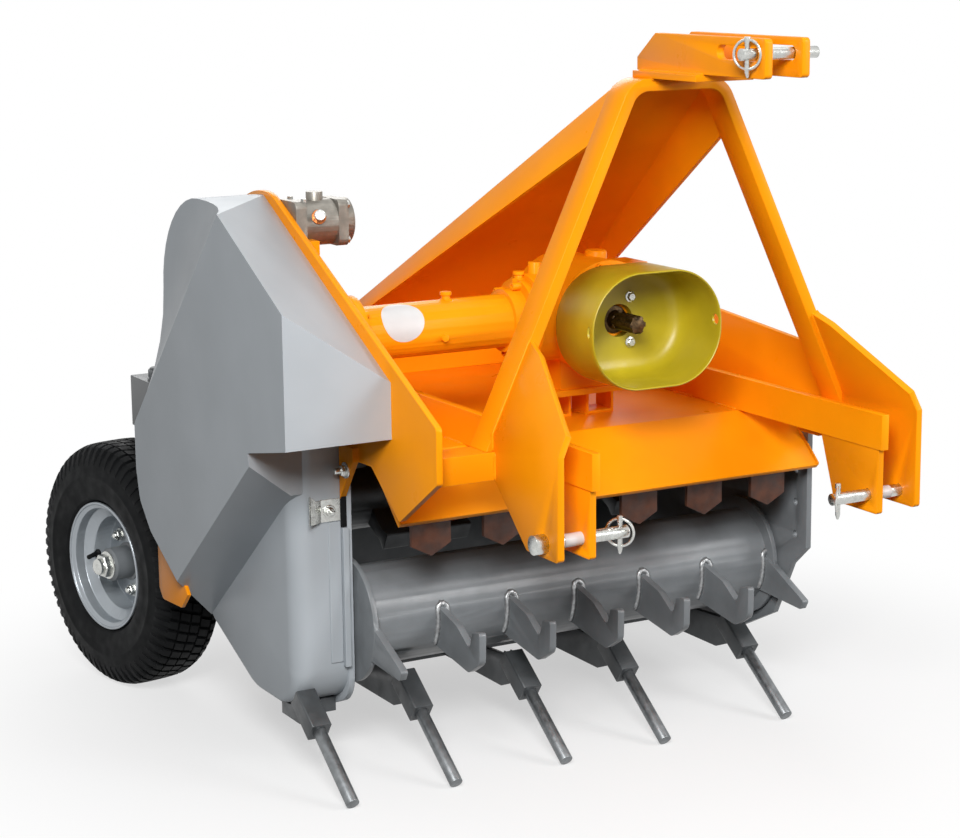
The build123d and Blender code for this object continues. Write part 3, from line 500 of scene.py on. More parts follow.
class SHREDDER_OT_tyres(bpy.types.Operator):
    """Tyres with sidewall ribs, tread blocks and shoulder lugs"""
    bl_idname = "shredder.tyres"
    bl_label = "Tyres"

    def execute(self, context):
        depth = sizes().tread / MM
        pitch = math.tau / TREAD_PITCHES
        inset = BLOCK_DRAFT * pitch
        for name, side in SIDES:
            at, out, across, up = wheel_axes(name, side)
            net = bmesh.new()
            half = [(-u, r) for u, r in CARCASS[:-1]]
            turned(net, at, out, half + list(CARCASS[::-1]), TYRE_STEPS, joined=True)
            for i in range(TREAD_PITCHES):
                for rows, shift, share, skew in TREAD_ROWS:
                    middle = (i + shift) * pitch
                    centre_u = (rows[0] + rows[-1]) / 2
                    rings = []
                    for u in rows:
                        lean = skew * pitch * (u - centre_u) / SKEW_MM
                        low, high = crown_at(u) - depth - BLOCK_ROOT_MM, crown_at(u)
                        a, b = middle + lean - share * pitch / 2, middle + lean + share * pitch / 2
                        corners = ((low, a), (low, b), (high, b - inset), (high, a + inset))
                        rings.append([net.verts.new((at + out * u + spoke(across, up, angle) * r) * MM)
                                      for r, angle in corners])
                    capped(net, rings)
            piece = make_piece(f"tyre_{name}_treaded", net, f"wheel_{name}", "tyre_rubber")
            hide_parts(f"tyre_{name}")
        return {"FINISHED"}


class SHREDDER_OT_wheel_fittings(bpy.types.Operator):
    """Hub sleeves, wheel nuts, valves and axle ends"""
    bl_idname = "shredder.wheel_fittings"
    bl_label = "Wheel fittings"

    def execute(self, context):
        for name, side in SIDES:
            at, out, across, up = wheel_axes(name, side)
            body = f"wheel_{name}"
            hub = bmesh.new()
            turned(hub, at, out, HUB_ROWS, HUB_SIDES, joined=True)
            make_piece(f"hub_{name}", hub, body, "dark_paint", "roller_paint")
            nuts = bmesh.new()
            for i in range(NUT_COUNT):
                angle = math.tau * (i + NUT_TURN) / NUT_COUNT
                seat = at + spoke(across, up, angle) * NUT_CIRCLE_MM + out * NUT_SEAT_MM
                turned_parts(nuts, seat, out, NUT_PARTS)
            make_piece(f"wheel_nuts_{name}", nuts, body, "zinc_steel")
            valve = bmesh.new()
            seat = at + across * VALVE_CIRCLE_MM + out * VALVE_SEAT_MM
            lean = out * VALVE_LEAN[0] - across * VALVE_LEAN[1]
            turned_parts(valve, seat, lean, VALVE_PARTS)
            make_piece(f"valve_{name}", valve, body, "tyre_rubber")
            end = bmesh.new()
            turned_parts(end, at, out, AXLE_END_PARTS)
            make_piece(f"axle_end_{name}", end, "frame", "zinc_steel")
        return {"FINISHED"}


# Welds

HITCH_X = 48.0              # middle of the linkage
STITCH_MM = 70
STITCH_PITCH_MM = 150
SHORTEST_STITCH = 0.5       # shorter ends of a line are left bare
WELD_CREASE = 60
WELD_SEED = 7


def both_sides(half, y, z):
    """The same point left and right of the linkage's middle."""
    return ((HITCH_X - half, y, z), (HITCH_X + half, y, z))


def paired(*rows):
    """Two lines from (half, y, z) rows, left and right of the linkage's middle."""
    ends = [both_sides(*row) for row in rows]
    return [[pair[k] for pair in ends] for k in (0, 1)]


SEAMS = (
    # places along each bead
    *paired((383, -500, 655), (383, -500, 684), (308, -500, 841)),
    *paired((371, -500, 684), (297, -500, 836)),
    *paired((306, -533, 615), (306, -702, 615)),
    *paired((313, -505, 604), (313, -505, 653), (313, -440, 653)),
    *paired((381, -506, 604), (381, -506, 652)),
    *paired((96, -439, 1267), (141, -439, 1172)),
    *paired((45, -638, 1292), (45, -440, 1292)),
    *paired((30, -638, 1292), (30, -440, 1292)),
    *paired((64, -150, 615), (64, -94, 615)),
    *paired((22, -150, 615), (22, -94, 615)),
    [(-12, -501, 1279), (108, -501, 1279)],
    [(-456, -506, 604), (-456, -506, 653), (-456, -441, 653)],
    [(456, -506, 604), (456, -506, 653), (456, -441, 653)],
    [(-456, -381, 514), (-456, -270, 615)],
    [(456, -381, 514), (456, -270, 615)],
)
STITCHED = (
    # start and end of each line
    *paired((296, -262, 615), (296, 424, 615)),
    *paired((312, -262, 615), (312, 424, 615)),
    [(456, -262, 615), (456, 470, 615)],
    [(-456, -262, 615), (-456, 470, 615)],
    [(-236, 438, 615), (332, 438, 615)],
    [(-456, 488, 600), (-456, 488, 200)],
    [(456, 488, 600), (456, 488, 200)],
)
TINE_AT_X = (-556, -346, -111, 110, 396)
TINE_SEAM = ((-199, 133), (-151, 167))      # (y, z) along a sleeve's lower face
TINE_SEAM_HALF_MM = 7
HOOKS = 7
HOOK_PITCH_MM = 148
HOOK_HALF_MM = 7
DRUM_R_MM = 95
BEAD_R_MM = DRUM_R_MM - 1   # middle of a bead, from the drum's axis
BEAD_SIDE_MM = 3            # middle of a bead, from the hook's face
HOOK_TOP = math.radians(13)
HOOK_LOW = math.radians(-34)
HOOK_STEPS = 8
TURN_CORNER = 0.06          # how far a bead goes past the hook's end, in radians
TURN_MIDDLE = 0.075


class SHREDDER_OT_welds(bpy.types.Operator):
    """Weld beads along the plates, under the tines' sleeves and round the hooks of the roller"""
    bl_idname = "shredder.welds"
    bl_label = "Welds"

    def execute(self, context):
        draw = random.Random(WELD_SEED)
        radius = sizes().weld / MM
        plates = bmesh.new()
        for line in SEAMS:
            bead(plates, line, radius, draw)
        for start, end in STITCHED:
            length = (Vector(end) - Vector(start)).length
            for i in range(int(length // STITCH_PITCH_MM) + 1):
                a = i * STITCH_PITCH_MM / length
                b = min(a + STITCH_MM / length, 1.0)
                if b - a > SHORTEST_STITCH * STITCH_MM / length:
                    run = [Vector(start).lerp(Vector(end), share) for share in (a, b)]
                    bead(plates, run, radius, draw)
        make_piece("welds_frame", plates, "frame", "orange_paint", crease=WELD_CREASE)

        tines = bmesh.new()
        for x in TINE_AT_X:
            for side in (-TINE_SEAM_HALF_MM, TINE_SEAM_HALF_MM):
                bead(tines, [(x + side, y, z) for y, z in TINE_SEAM], radius, draw)
        make_piece("welds_tines", tines, "frame", "dark_paint", crease=WELD_CREASE)

        hooks = bmesh.new()
        axis = JOINT_AT["roller_turn"] / MM
        size = sizes().hook_weld / MM
        steps = [HOOK_LOW + (HOOK_TOP - HOOK_LOW) * k / HOOK_STEPS for k in range(HOOK_STEPS + 1)]
        beside, corner = HOOK_HALF_MM + BEAD_SIDE_MM, HOOK_HALF_MM - BEAD_SIDE_MM
        left = [(-beside, a) for a in steps]
        turn = HOOK_TOP + TURN_CORNER
        top = [(-corner, turn), (0, HOOK_TOP + TURN_MIDDLE), (corner, turn)]
        right = [(beside, a) for a in reversed(steps)]
        for i in range(HOOKS):
            x = (i - (HOOKS - 1) / 2) * HOOK_PITCH_MM
            # a side wall runs close by the outer face of each end hook, so that face has no bead
            path = (left if i > 0 else []) + top + (right if i < HOOKS - 1 else [])
            line = [(x + dx, axis.y - BEAD_R_MM * math.cos(a), axis.z + BEAD_R_MM * math.sin(a))
                    for dx, a in path]
            bead(hooks, line, size, draw)
        make_piece("welds_hooks", hooks, "roller", "dark_paint", "thin_paint_bead", WELD_CREASE)
        return {"FINISHED"}


# Bolts and screws

LEFT, RIGHT, FRONT, UP = (-1, 0, 0), (1, 0, 0), (0, -1, 0), (0, 0, 1)
TUBE_AXIS = (-182.0, 822.0)     # (y, z) of the cross tube
TUBE_R_MM = 50.0
STAY_BOLT = (-481, -216, 583)
STAY_STUD = (((10, 6), (22, 6), (23.5, 4.6)), 16)      # rows of height and radius, sides
HEX_BOLTS = (
    # place, direction, head's half width, head height, washer's radius
    *((x, -301, z) + (FRONT, 8.0, 6.0, 10.5) for x, z in ((73, 865), (73, 779))),
    *((483, y + dy, z + dz) + (RIGHT, 11.0, 10.0, 15.0)
      for y, z in ((-140, 282), (252, 408)) for dy in (-42, 42) for dz in (-42, 42)),
    *((484 * side, y, z) + ((side, 0, 0), 12.0, 10.0, 16.0)
      for side in (-1, 1) for y, z in ((398, 486), (450, 486), (398, 430), (398, 374))),
    *((-349, 66 + dy, 1000 + dz) + (RIGHT, 7.5, 6.0, 0.0) for dy in (-33, 33) for dz in (-33, 33)),
    (*STAY_BOLT, LEFT, 10.5, 9.0, 15.0),
    (-300, 560, 560, RIGHT, 11.0, 8.0, 14.0),
)
SOCKET_SCREWS = (
    # middle, direction, circle's radius, count, screw's radius, height
    ((-106, *TUBE_AXIS), LEFT, 67, 6, 7.5, 17),
    ((-443, *TUBE_AXIS), RIGHT, 61, 6, 6.0, 9),
    ((48, -262, 822), FRONT, 101, 8, 5.2, 6),
    ((166, *TUBE_AXIS), RIGHT, 70, 6, 6.0, 7),
)
SCREW_TURN = 0.25               # turn of the first screw, in pitches
TUBE_PLUGS = (
    # x, top of the stem
    (-253, 884),
    (-98, 910),
)
PLUG_PARTS = (
    # lift from the top of the stem, rows of height and radius, sides
    (-18, ((0, 13), (6, 13), (7, 12)), 6),
    (-5, ((0, 9), (1, 11), (6, 11), (7.2, 10)), 20),
)
GEARBOX_CAP = ((72, TUBE_AXIS[0], 936), UP, ((0, 19), (3, 19), (4, 18)), 28)
WASHER_MM = 2.4                 # thickness
WASHER_SIDES = 28
WASHER_EDGE = (0.4, 0.6)        # height and width of its broken edge
HEAD_STRAIGHT = 0.82            # share of a bolt head's height below its turned-off corners
HEAD_TOP = 0.84                 # share of its half width above them
FACE_SIDES = 20                 # round face on top of a head
FACE_FOOT, FACE_RIM = (-0.6, 0.78), (0.3, 0.74)     # height from the head's top, share of its half width
SCREW_SIDES = 18
SCREW_EDGE_MM = 0.8
SOCKET_MOUTH, SOCKET_FLOOR, SOCKET_DEPTH = 0.56, 0.52, 0.7      # shares of the screw's radius


def hex_bolt(net, at, out, half, height, washer):
    """Bolt head with its corners turned off, over a washer where it has one."""
    lift = WASHER_MM if washer else 0.0
    seat, top = lift - WASHER_EDGE[0], lift + height
    if washer:
        turned(net, at, out, ((-0.5, washer), (seat, washer), (lift, washer - WASHER_EDGE[1])), WASHER_SIDES)
    turned(net, at, out, ((seat, half), (lift + height * HEAD_STRAIGHT, half), (top, half * HEAD_TOP)), 6)
    turned(net, at, out, [(top + rise, half * share) for rise, share in (FACE_FOOT, FACE_RIM)], FACE_SIDES)


def socket_screw(net, at, out, radius, height):
    """Cap screw with a hollow in its head."""
    rows = ((-1, radius), (height - SCREW_EDGE_MM, radius), (height, radius - SCREW_EDGE_MM),
            (height, radius * SOCKET_MOUTH), (height - radius * SOCKET_DEPTH, radius * SOCKET_FLOOR))
    turned(net, at, out, rows, SCREW_SIDES)


class SHREDDER_OT_fasteners(bpy.types.Operator):
    """Bolts, cap screws, plugs and the stay's nut"""
    bl_idname = "shredder.fasteners"
    bl_label = "Fasteners"

    def execute(self, context):
        zinc = bmesh.new()
        for x, y, z, out, half, height, washer in HEX_BOLTS:
            hex_bolt(zinc, (x, y, z), out, half, height, washer)
        turned(zinc, STAY_BOLT, LEFT, *STAY_STUD)
        make_piece("bolts_zinc", zinc, "frame", "zinc_steel")
        painted = bmesh.new()
        for middle, out, circle, count, radius, height in SOCKET_SCREWS:
            out = Vector(out)
            across = across_of(out)
            up = out.cross(across)
            for i in range(count):
                angle = math.tau * (i + SCREW_TURN) / count
                at = Vector(middle) + spoke(across, up, angle) * circle
                socket_screw(painted, at, out, radius, height)
        for x, top in TUBE_PLUGS:
            for lift, rows, sides in PLUG_PARTS:
                turned(painted, (x, TUBE_AXIS[0], top + lift), UP, rows, sides)
        turned(painted, *GEARBOX_CAP)
        make_piece("screws_painted", painted, "frame", "orange_paint")
        return {"FINISHED"}


# Fittings on pump, tank, belt cover, guard and pins

GUARD_MID = (48.0, 822.0)       # (x, z) of the oval
GUARD_HALF = (140.0, 108.0)
GUARD_CORNER = 104.0
GUARD_POINTS = 120
GUARD_RINGS = (
    # y, inset of the oval, or None and a circle's radius
    (-284, None, 31), (-284, None, 84), (-297, None, 84), (-297, 15, 0), (-298.4, 8.5, 0), (-303, 3, 0),
    (-312, 0.4, 0), (-360, 0, 0), (-420, 0, 0), (-433.2, 0, 0), (-434.8, 0.7, 0), (-435.6, 2, 0),
    (-434.8, 3.4, 0), (-433.2, 4, 0), (-420, 4, 0), (-340, 4.2, 0), (-322, 6, 0), (-310, 12, 0),
    (-303.6, 22, 0), (-301, 36, 0), (-301, None, 60), (-301, None, 31),
)
GUARD_HOLE = ((165, -420, 829), RIGHT, ((0, 10), (45, 10)), 24)
GUARD_SLOT = ((-75, -422, 828), LEFT, ((0, 4.5), (40, 4.5)), 16)
SLOT_STRETCH = 1.4              # added to the slot's height, in heights
PORT_AT = (-410, 24, 1014)
PORT_AIM = (-0.25, -1, 0.35)
PORT_WASHER = (((-2, 14), (2.4, 14), (3, 13.4)), 28)        # rows of height and radius, sides
PORT_PLUG_PARTS = (
    # rows of height and radius, sides: nut, collar
    (((2, 11.5), (8, 11.5), (9, 10.6)), 6),
    (((8, 10), (9, 11), (16, 11), (17.4, 9.6)), 24),
)
PUMP_SCREWS = ((-435, 36, 1044), (-435, 96, 1044))
PUMP_SCREW = (((-3, 6), (4, 6), (5, 5)), 6)
BRACKET_X = (-457, -418)
BRACKET_CORNERS = ((4, 944), (40, 944), (40, 972), (4, 972))        # (y, z)
CAP_AT = (-534, 570)            # (x, y) of the tank's cap
CAP_RIBS = 18
CAP_R_MM = 16
CAP_RIB_MM = -18                # foot of the ribs, from the top of the cap
CAP_TOP_MM = -1
CAP_RIB = (((0, 2.4), (15, 2.4), (16.5, 1.6)), 8)
CAP_TOP = (((0, 15), (2, 15), (4, 12)), 32)


def guard_ring(net, y, inset, radius):
    """One ring of the guard: an oval drawn in by an inset, or a circle."""
    ring = []
    for i in range(GUARD_POINTS):
        angle = math.tau * (i + 0.5) / GUARD_POINTS
        c, s = math.cos(angle), math.sin(angle)
        if inset is None:
            dx, dz = radius * c, radius * s
        else:
            bend = GUARD_CORNER - inset
            dx = math.copysign(GUARD_HALF[0] - GUARD_CORNER, c) + bend * c
            dz = math.copysign(GUARD_HALF[1] - GUARD_CORNER, s) + bend * s
        ring.append(net.verts.new(Vector((GUARD_MID[0] + dx, y, GUARD_MID[1] + dz)) * MM))
    return ring


def cut(piece, cutter_net):
    """Cut a net's bodies out of a piece for good."""
    mesh = bpy.data.meshes.new("cutter")
    bmesh.ops.recalc_face_normals(cutter_net, faces=cutter_net.faces)
    cutter_net.to_mesh(mesh)
    cutter_net.free()
    cutter = bpy.data.objects.new("cutter", mesh)
    bpy.context.scene.collection.objects.link(cutter)
    step = piece.modifiers.new("cut", "BOOLEAN")
    step.object = cutter
    step.solver = "EXACT"
    bpy.context.view_layer.update()
    shaped = bpy.data.meshes.new_from_object(piece.evaluated_get(bpy.context.evaluated_depsgraph_get()))
    piece.modifiers.remove(step)
    piece.data = shaped
    bpy.data.objects.remove(cutter)


class SHREDDER_OT_guard(bpy.types.Operator):
    """Moulded guard with a rounded rim, a bowl-shaped floor and its two holes"""
    bl_idname = "shredder.guard"
    bl_label = "Guard"

    def execute(self, context):
        net = bmesh.new()
        skin(net, [guard_ring(net, *row) for row in GUARD_RINGS], joined=True)
        piece = make_piece("guard_moulded", net, "frame", "guard_plastic", crease=40)
        holes = bmesh.new()
        turned(holes, *GUARD_HOLE)
        turned(holes, *GUARD_SLOT)
        slot_z = GUARD_SLOT[0][2] * MM
        for vert in holes.verts:
            if vert.co.x < 0:
                vert.co.z += (vert.co.z - slot_z) * SLOT_STRETCH
        cut(piece, holes)
        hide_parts("guard")
        return {"FINISHED"}


class SHREDDER_OT_pump_fittings(bpy.types.Operator):
    """Plug, copper washer, screws and bracket at the pump, and a ribbed cap grip on the tank"""
    bl_idname = "shredder.pump_fittings"
    bl_label = "Pump and tank fittings"

    def execute(self, context):
        washer = bmesh.new()
        turned(washer, PORT_AT, PORT_AIM, *PORT_WASHER)
        make_piece("port_washer", washer, "frame", "bare_steel", "copper_washer")
        plug = bmesh.new()
        turned_parts(plug, PORT_AT, PORT_AIM, PORT_PLUG_PARTS)
        for at in PUMP_SCREWS:
            turned(plug, at, UP, *PUMP_SCREW)
        make_piece("port_plug", plug, "frame", "zinc_steel")
        bracket = bmesh.new()
        block(bracket, *([(x, y, z) for y, z in BRACKET_CORNERS] for x in BRACKET_X))
        make_piece("pump_bracket", bracket, "frame", "orange_paint", edge_mm=2.0)
        cap = bmesh.new()
        x, y = CAP_AT
        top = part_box("oil_tank")[1].z / MM
        for i in range(CAP_RIBS):
            angle = math.tau * i / CAP_RIBS
            at = (x + CAP_R_MM * math.cos(angle), y + CAP_R_MM * math.sin(angle), top + CAP_RIB_MM)
            turned(cap, at, UP, *CAP_RIB)
        turned(cap, (x, y, top + CAP_TOP_MM), UP, *CAP_TOP)
        make_piece("tank_cap_grip", cap, "frame", "tank_paint")
        return {"FINISHED"}


COVER_X = {"out": -672.0, "mid": -575.0, "bend": -600.0, "base": -469.0}
TOP_Z = 1049.0
REAR_Y = 345.0
ARC_R = 192.0               # rounding between top and rear
ARC_STEPS = 10
NOSE_Y = -380.0
NOSE_TOP_OUT, NOSE_TOP_IN, NOSE_LOW = 905.1, 768.7, 668.0
NOSE_ROOT = (-216.0, 636.0)
APEX_Y = -112.0             # where the sloping top meets the flat top, at the outer face
SLOPE_REAR_Y = 142.1        # the same at the drive plate
CREASE_REAR_Z = 592.0       # foot of the curved corner
BEND_STEPS = (0, 53, 106, 159, 212, 265)        # places across the curved corner
# (y, z, radius) rows: rear edge of the upper part, edge of the lower part
REAR_ROWS = ((345, 592, 0), (345, 500, 60), (330, 440, 40), (279, 387, 30), (147, 316, 0))
LOWER_ROWS = ((-186, 636, 0), (-186, 130, 78), (10, 130, 130), (250, 232, 50), (192, 340, 0))
BAND_FRONT, BAND_REAR = (-221, 613), (147, 316)     # (y, z) of the slanting band's corners
BAND_LOW_FRONT, BAND_LOW_REAR = (-182, 540), (217, 218)
LOWER_STEPS = 8             # points on each rounded corner of the lower part
ROLL_R_MM = 40.0
ROLL_END_R_MM = 4.0
ROLL_STEPS = 6


def rounded_line(rows, steps=6):
    """Points along a line of (y, z, radius) rows with its corners rounded."""
    points = []
    for i, (y, z, r) in enumerate(rows):
        corner = Vector((y, z))
        if r == 0:
            points.append(corner)
            continue
        back = (Vector(rows[i - 1][:2]) - corner).normalized()
        ahead = (Vector(rows[i + 1][:2]) - corner).normalized()
        half = back.angle(ahead) / 2
        middle = corner + (back + ahead).normalized() * (r / math.sin(half))
        start = corner + back * (r / math.tan(half)) - middle
        end = corner + ahead * (r / math.tan(half)) - middle
        for k in range(steps + 1):
            points.append(middle + start.lerp(end, k / steps).normalized() * r)
    return points


def sheets(net, faces):
    """Faces that share the corners they have in common."""
    corners = {}
    for face in faces:
        loop = []
        for point in face:
            key = tuple(round(v, 2) for v in point)
            if key not in corners:
                corners[key] = net.verts.new(Vector(key) * MM)
            loop.append(corners[key])
        net.faces.new(loop)


def cover_upper_faces():
    """Folded faces of the cover's deep upper part, outer side, walls and back."""
    out, mid, bend, base = (COVER_X[k] for k in ("out", "mid", "bend", "base"))
    rear = [(p.x, p.y) for p in rounded_line(REAR_ROWS)]
    turns = [math.pi / 2 * k / ARC_STEPS for k in range(ARC_STEPS + 1)]
    arc = [(REAR_Y - ARC_R + ARC_R * math.sin(a), TOP_Z - ARC_R + ARC_R * math.cos(a)) for a in turns]
    reach = BEND_STEPS[-1]
    bends = [(out + (bend - out) * (1 - (1 - s / reach) ** 2), s) for s in BEND_STEPS]
    root_y, root_z = NOSE_ROOT
    low_y, low_z = BAND_LOW_FRONT
    faces = [
        [(out, NOSE_Y, NOSE_LOW), (out, NOSE_Y, NOSE_TOP_OUT), (out, APEX_Y, TOP_Z)]
        + [(out, y, z) for y, z in rear] + [(out, *BAND_FRONT), (out, root_y, root_z)],
        [(out, NOSE_Y, NOSE_TOP_OUT), (out, APEX_Y, TOP_Z),
         (base, SLOPE_REAR_Y, TOP_Z), (base, NOSE_Y, NOSE_TOP_IN)],
        [(out, NOSE_Y, NOSE_LOW), (out, NOSE_Y, NOSE_TOP_OUT),
         (base, NOSE_Y, NOSE_TOP_IN), (base, NOSE_Y, NOSE_LOW)],
        [(out, NOSE_Y, NOSE_LOW), (base, NOSE_Y, NOSE_LOW), (base, root_y, root_z), (out, root_y, root_z)],
        [(out, root_y, root_z), (base, root_y, root_z), (base, low_y, root_z), (mid, low_y, root_z)],
        [(bend, y, z) for y, z in arc],
        [(x, APEX_Y + s, TOP_Z) for x, s in bends] + [(base, *arc[0]), (base, SLOPE_REAR_Y, TOP_Z)],
        [(base, *arc[-1])] + [(x, REAR_Y, CREASE_REAR_Z + s) for x, s in reversed(bends)]
        + [(base, *rear[0])],
        [(out, *BAND_FRONT), (out, *BAND_REAR), (mid, *BAND_LOW_REAR), (mid, low_y, low_z)],
        [(mid, low_y, low_z), (mid, *BAND_LOW_REAR), (base, *BAND_LOW_REAR), (base, low_y, low_z)],
        [(out, *BAND_REAR), (base, *BAND_REAR), (base, *BAND_LOW_REAR), (mid, *BAND_LOW_REAR)],
        [(out, *BAND_FRONT), (out, root_y, root_z), (mid, low_y, root_z), (mid, low_y, low_z)],
        [(mid, low_y, root_z), (base, low_y, root_z), (base, low_y, low_z), (mid, low_y, low_z)],
        [(base, NOSE_Y, NOSE_LOW), (base, NOSE_Y, NOSE_TOP_IN), (base, SLOPE_REAR_Y, TOP_Z)]
        + [(base, y, z) for y, z in arc + rear]
        + [(base, *BAND_LOW_REAR), (base, low_y, low_z), (base, low_y, root_z), (base, root_y, root_z)],
    ]
    for (x_a, a), (x_b, b) in zip(bends, bends[1:]):
        faces.append([(x_a, APEX_Y + a, TOP_Z), (x_b, APEX_Y + b, TOP_Z),
                      (x_b, REAR_Y, CREASE_REAR_Z + b), (x_a, REAR_Y, CREASE_REAR_Z + a)])
    for line, x in ((arc, bend), (rear, out)):
        for a, b in zip(line, line[1:]):
            faces.append([(x, *a), (x, *b), (base, *b), (base, *a)])
    return faces


def cover_lower_part(net):
    """Shallower lower part, its front edge rolled and the roll running out round the bottom corner."""
    mid, base = COVER_X["mid"], COVER_X["base"]
    line = rounded_line(LOWER_ROWS, LOWER_STEPS)
    rings = []
    for i, at in enumerate(line):
        along = (line[min(i + 1, len(line) - 1)] - line[max(i - 1, 0)]).normalized()
        inward = Vector((-along.y, along.x))
        share = min(max((i - 1) / LOWER_STEPS, 0.0), 1.0)
        roll = ROLL_R_MM + (ROLL_END_R_MM - ROLL_R_MM) * share
        rows = [(base, at)]
        for k in range(ROLL_STEPS + 1):
            turn = math.pi / 2 * k / ROLL_STEPS
            rows.append((mid + roll * (1 - math.sin(turn)), at + inward * (roll * (1 - math.cos(turn)))))
        rings.append([net.verts.new(Vector((x, p.x, p.y)) * MM) for x, p in rows])
    for low, high in zip(rings, rings[1:]):
        for k in range(len(low) - 1):
            net.faces.new((low[k], high[k], high[k + 1], low[k + 1]))
    net.faces.new([ring[-1] for ring in rings])
    net.faces.new([ring[0] for ring in reversed(rings)])
    net.faces.new(rings[0] + rings[-1][::-1])


class SHREDDER_OT_cover(bpy.types.Operator):
    """Folded belt cover: deep upper part with its sloping top, slanting band and rolled lower part"""
    bl_idname = "shredder.cover"
    bl_label = "Belt cover"

    def execute(self, context):
        net = bmesh.new()
        sheets(net, cover_upper_faces())
        cover_lower_part(net)
        piece = make_piece("cover_folded", net, "frame", "grey_paint", crease=26, edge_mm=2.2)
        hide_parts("belt_cover")
        return {"FINISHED"}


CLIP_PROFILE = ((-481, -186.2), (-520, -186.2), (-531, -193), (-546, -199), (-552, -207))      # (x, y)
CLIP_Z = (484, 526)
CLIP_T_MM = 3
CLIP_EAR = (-545, 12)           # the clip is taller by this much beyond this x
CLIP_BOLT = ((-503, -189.2, 503), FRONT)
CLIP_HEAD = (8.5, 6.5, 12.0)    # head's half width, head height, washer's radius
CLIP_STUD = (((8, 4.5), (15, 4.5), (16, 3.6)), 14)
LIP_BARS = (
    # x from, x to, y rear, y front, z low, z high
    (-505, -480, -185.5, -188.6, 214, 482),
    (-480, -468, -187, -198, 205, 470),
)
SEAL_BAR = (-480, -469, -186, -192, 470, 598)


def upright_bar(net, x_from, x_to, y_rear, y_front, low, high):
    """Upright bar between two heights."""
    corners = ((x_from, y_rear), (x_from, y_front), (x_to, y_front), (x_to, y_rear))
    block(net, *([(x, y, z) for x, y in corners] for z in (low, high)))


class SHREDDER_OT_cover_trim(bpy.types.Operator):
    """Spring clip, lip and edge strip on the front of the belt cover"""
    bl_idname = "shredder.cover_trim"
    bl_label = "Cover trim"

    def execute(self, context):
        clip = bmesh.new()
        rings = []
        for x, y in CLIP_PROFILE:
            top = CLIP_Z[1] + (CLIP_EAR[1] if x < CLIP_EAR[0] else 0)
            front = y - CLIP_T_MM
            corners = ((x, y, CLIP_Z[0]), (x, front, CLIP_Z[0]), (x, front, top), (x, y, top))
            rings.append([clip.verts.new(Vector(p) * MM) for p in corners])
        capped(clip, rings)
        hex_bolt(clip, *CLIP_BOLT, *CLIP_HEAD)
        turned(clip, *CLIP_BOLT, *CLIP_STUD)
        make_piece("cover_clip", clip, "frame", "zinc_steel", edge_mm=0.5)
        lip = bmesh.new()
        for bar in LIP_BARS:
            upright_bar(lip, *bar)
        make_piece("cover_lip", lip, "frame", "grey_paint", edge_mm=1.6)
        seal = bmesh.new()
        upright_bar(seal, *SEAL_BAR)
        make_piece("cover_seal", seal, "frame", "tyre_rubber", edge_mm=1.5)
        return {"FINISHED"}


PIN_AXIS = (-672, 527)          # (y, z) of the lower pins
LINCHPINS = (
    # node, place of the peg on its pin, direction of the ring's near side
    ("linchpin_left", (-184, *PIN_AXIS), (0.71, -0.71, 0)),
    ("linchpin_right", (280, *PIN_AXIS), (-0.71, -0.71, 0)),
    ("linchpin_top", (-10, -784, 1332), (0.5, -0.87, 0)),
)
RING_R_MM = 24.0
RING_STEPS = 48
WIRE_R_MM = 2.5
WIRE_SIDES = 10
# rows of height and radius, sides
PEG = (((-38, 1.6), (-34, 3.4), (-29, 4.5), (18, 4.5), (20, 5.4), (28, 5.4), (29, 4.6)), 18)


class SHREDDER_OT_linchpins(bpy.types.Operator):
    """Linchpins: a pointed peg with a flattened head, and a spring ring of round wire"""
    bl_idname = "shredder.linchpins"
    bl_label = "Linchpins"

    def execute(self, context):
        turns = [math.tau * k / WIRE_SIDES for k in range(WIRE_SIDES)]
        wire = [(WIRE_R_MM * math.sin(a), RING_R_MM + WIRE_R_MM * math.cos(a)) for a in turns]
        for node, at, near in LINCHPINS:
            net = bmesh.new()
            turned(net, at, Vector(near).cross(Vector(UP)), wire, RING_STEPS, joined=True)
            turned(net, at, UP, *PEG)
            piece = make_piece(f"{node}_sprung", net, "frame", "zinc_steel")
            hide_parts(node)
        return {"FINISHED"}


DISC_X = -363.0
DISC_TURN = math.radians(33)    # turned up from the front of the tube
DISC_R_MM = 42.0
DISC_RINGS = 8
DISC_STEPS = 64
DISC_LIFT_MM = 0.5
DISC_EDGE_MM = -0.3             # the edge goes just into the tube
SLEEVES_X = (HITCH_X - 346, HITCH_X + 308)
SLEEVE = (((0, 11), (0, 11.7), (38, 11.7), (38, 11)), 32)


def disc_ring(net, radius, lift):
    """Ring of the disc, bent round the tube."""
    ring = []
    for i in range(DISC_STEPS):
        turn = -math.tau * i / DISC_STEPS
        x = DISC_X + radius * math.cos(turn)
        angle = DISC_TURN + radius * math.sin(turn) / TUBE_R_MM
        reach = TUBE_R_MM + lift
        y, z = TUBE_AXIS[0] - reach * math.cos(angle), TUBE_AXIS[1] + reach * math.sin(angle)
        ring.append(net.verts.new(Vector((x, y, z)) * MM))
    return ring


